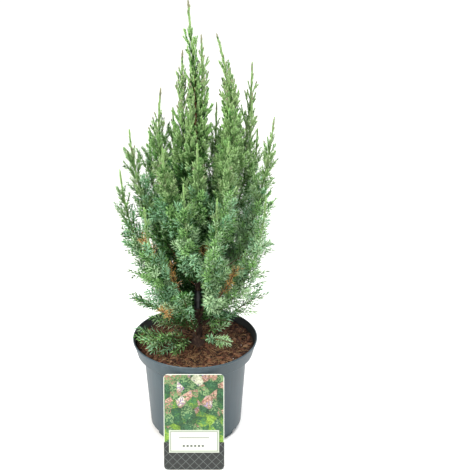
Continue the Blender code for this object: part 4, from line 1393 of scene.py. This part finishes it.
for row in UPRIGHT:
    if row[4] < 0.30 and not 250 < row[1] < 345:
        inner_wood = np.array([spines[row[0]].at(t) for t in np.linspace(0.16, 0.42, 20)])
        dead_needles(inner_wood, 0.0, "foliage_" + row[0])
dead_wood = []
for foot, tip, thick in DEAD_TWIGS:
    foot, tip = np.array(foot), np.array(tip)
    aim, length = unit(tip - foot), np.linalg.norm(tip - foot)
    line = bent_line(foot, unit(aim - 0.35 * UP), unit(aim + 0.55 * UP), 0.9, length, 8)
    line[1:-1] += needle_rng.normal(0, 0.0008, (7, 3))
    dead_wood.append((line, np.linspace(thick, 0.5 * thick, 9)))
    for k in range(1, 8):
        turned_to = heading(aim, *cross_frame(aim), math.radians(40), GOLDEN_ANGLE * k)
        twig = bent_line(line[k], turned_to, UP, 0.5, needle_rng.uniform(0.007, 0.014), 3)
        dead_wood.append((twig, (0.0006, 0.0005, 0.0004, 0.0003)))
    owner = masses[int(plant.nearness(line[3:4])[0].argmin())]
    for line, _ in dead_wood[-8:]:
        for _ in range(3):
            dead_needles(line, needle_rng.uniform(0.0, 0.4), owner.name)

# %% [markdown]
# Needle materials are plain base colours, because the colour's place is in which spray
# has which.  Juniper needles have a thin waxy bloom: they are not glossy, so the
# reflection is weak, and the roughness wanders a little from spray to spray.

# %% Needle materials
# name of the finish, colour of the outer side, colour of the side towards the twig's tip
NEEDLE_TONES = {
    "mid": ("scaly adult foliage, mid green", "73a158", "96c07d"),
    "light": ("scaly adult foliage in light", "88b268", "acd091"),
    "deep": ("shaded inner foliage", "25531b", "3d7030"),
    "grey": ("scaly foliage of the spires", "8aac6f", "acc891"),
    "bronze": ("bronzed shoot tips", "8a8c70", "a6a88e"),
    "young_blue": ("prickly young foliage with a blue bloom", "539263", "a3daab"),
    "young_pale": ("prickly young foliage, pale bands", "76a66d", "badfac"),
    "young_green": ("prickly young foliage, green", "529044", "9bd280"),
    "dead": ("dried needles", "e8a955", "fbcf85"),
}


def needle_material(name, tone):
    made, add = new_material(name)
    bloom = add("TexNoise", {"Vector": add("TexCoord").outputs["Object"], "Scale": 60.0, "Detail": 2.0})
    gloss = add("MapRange", {"Value": bloom, "To Min": 0.45, "To Max": 0.68})
    finish = {"Base Color": colour(tone), "Roughness": gloss, "IOR": 1.45, "Specular IOR Level": 0.22}
    add("OutputMaterial", [add("BsdfPrincipled", finish)])
    return made


# %% Join the needles
for name, (label, outer, inner) in NEEDLE_TONES.items():
    rows = np.concatenate(bank.rows[name])
    piece = joined_mesh("needles_" + name, *needle_mesh(rows), needle_material(label, outer))
    piece.data.materials.append(needle_material(label + ", inner side", inner))
    piece.data.polygons.foreach_set("material_index", np.tile(np.array((0, 1, 1, 0), np.int32), len(rows)))
    slot = "juvenile_foliage" if name.startswith("young") else "adult_foliage"
    finished(piece, slot, *sorted(bank.masses[name]))

# %% [markdown]
# The twigs under the needles are three-sided tubes: brown where the wood is older, green
# where it is this year's growth.

# %% Twigs
brown_twigs, green_twigs = Heap(), Heap()
for shoot in shoots:
    heap = brown_twigs if shoot.radii[0] > 0.0008 and shoot.line[0][2] < 0.56 else green_twigs
    heap.add(*tube(shoot.line, shoot.radii, 3))
for line, radii in dead_wood:
    brown_twigs.add(*tube(line, radii, 5))
SMOOTH_BARK = [(0.3, "6d4a2e"), (0.7, "8f7350")]
young_wood = bark_material("smooth bark of this year's twigs", YOUNG_BARK, SMOOTH_BARK, 0.3, 0.5)
green_wood = needle_material("green twig", "6f8f58")
finished(brown_twigs.mesh("twigs_brown", young_wood), "bark", *[mass.name for mass in masses])
finished(green_twigs.mesh("twigs_green", green_wood), "bark", *[mass.name for mass in masses])

# %% [markdown]
# ## Finish
# The view layer is brought up to date.  Foliage may stand a few millimetres proud of
# the solids, and nothing else may.

# %% Update the view layer
bpy.context.view_layer.update()
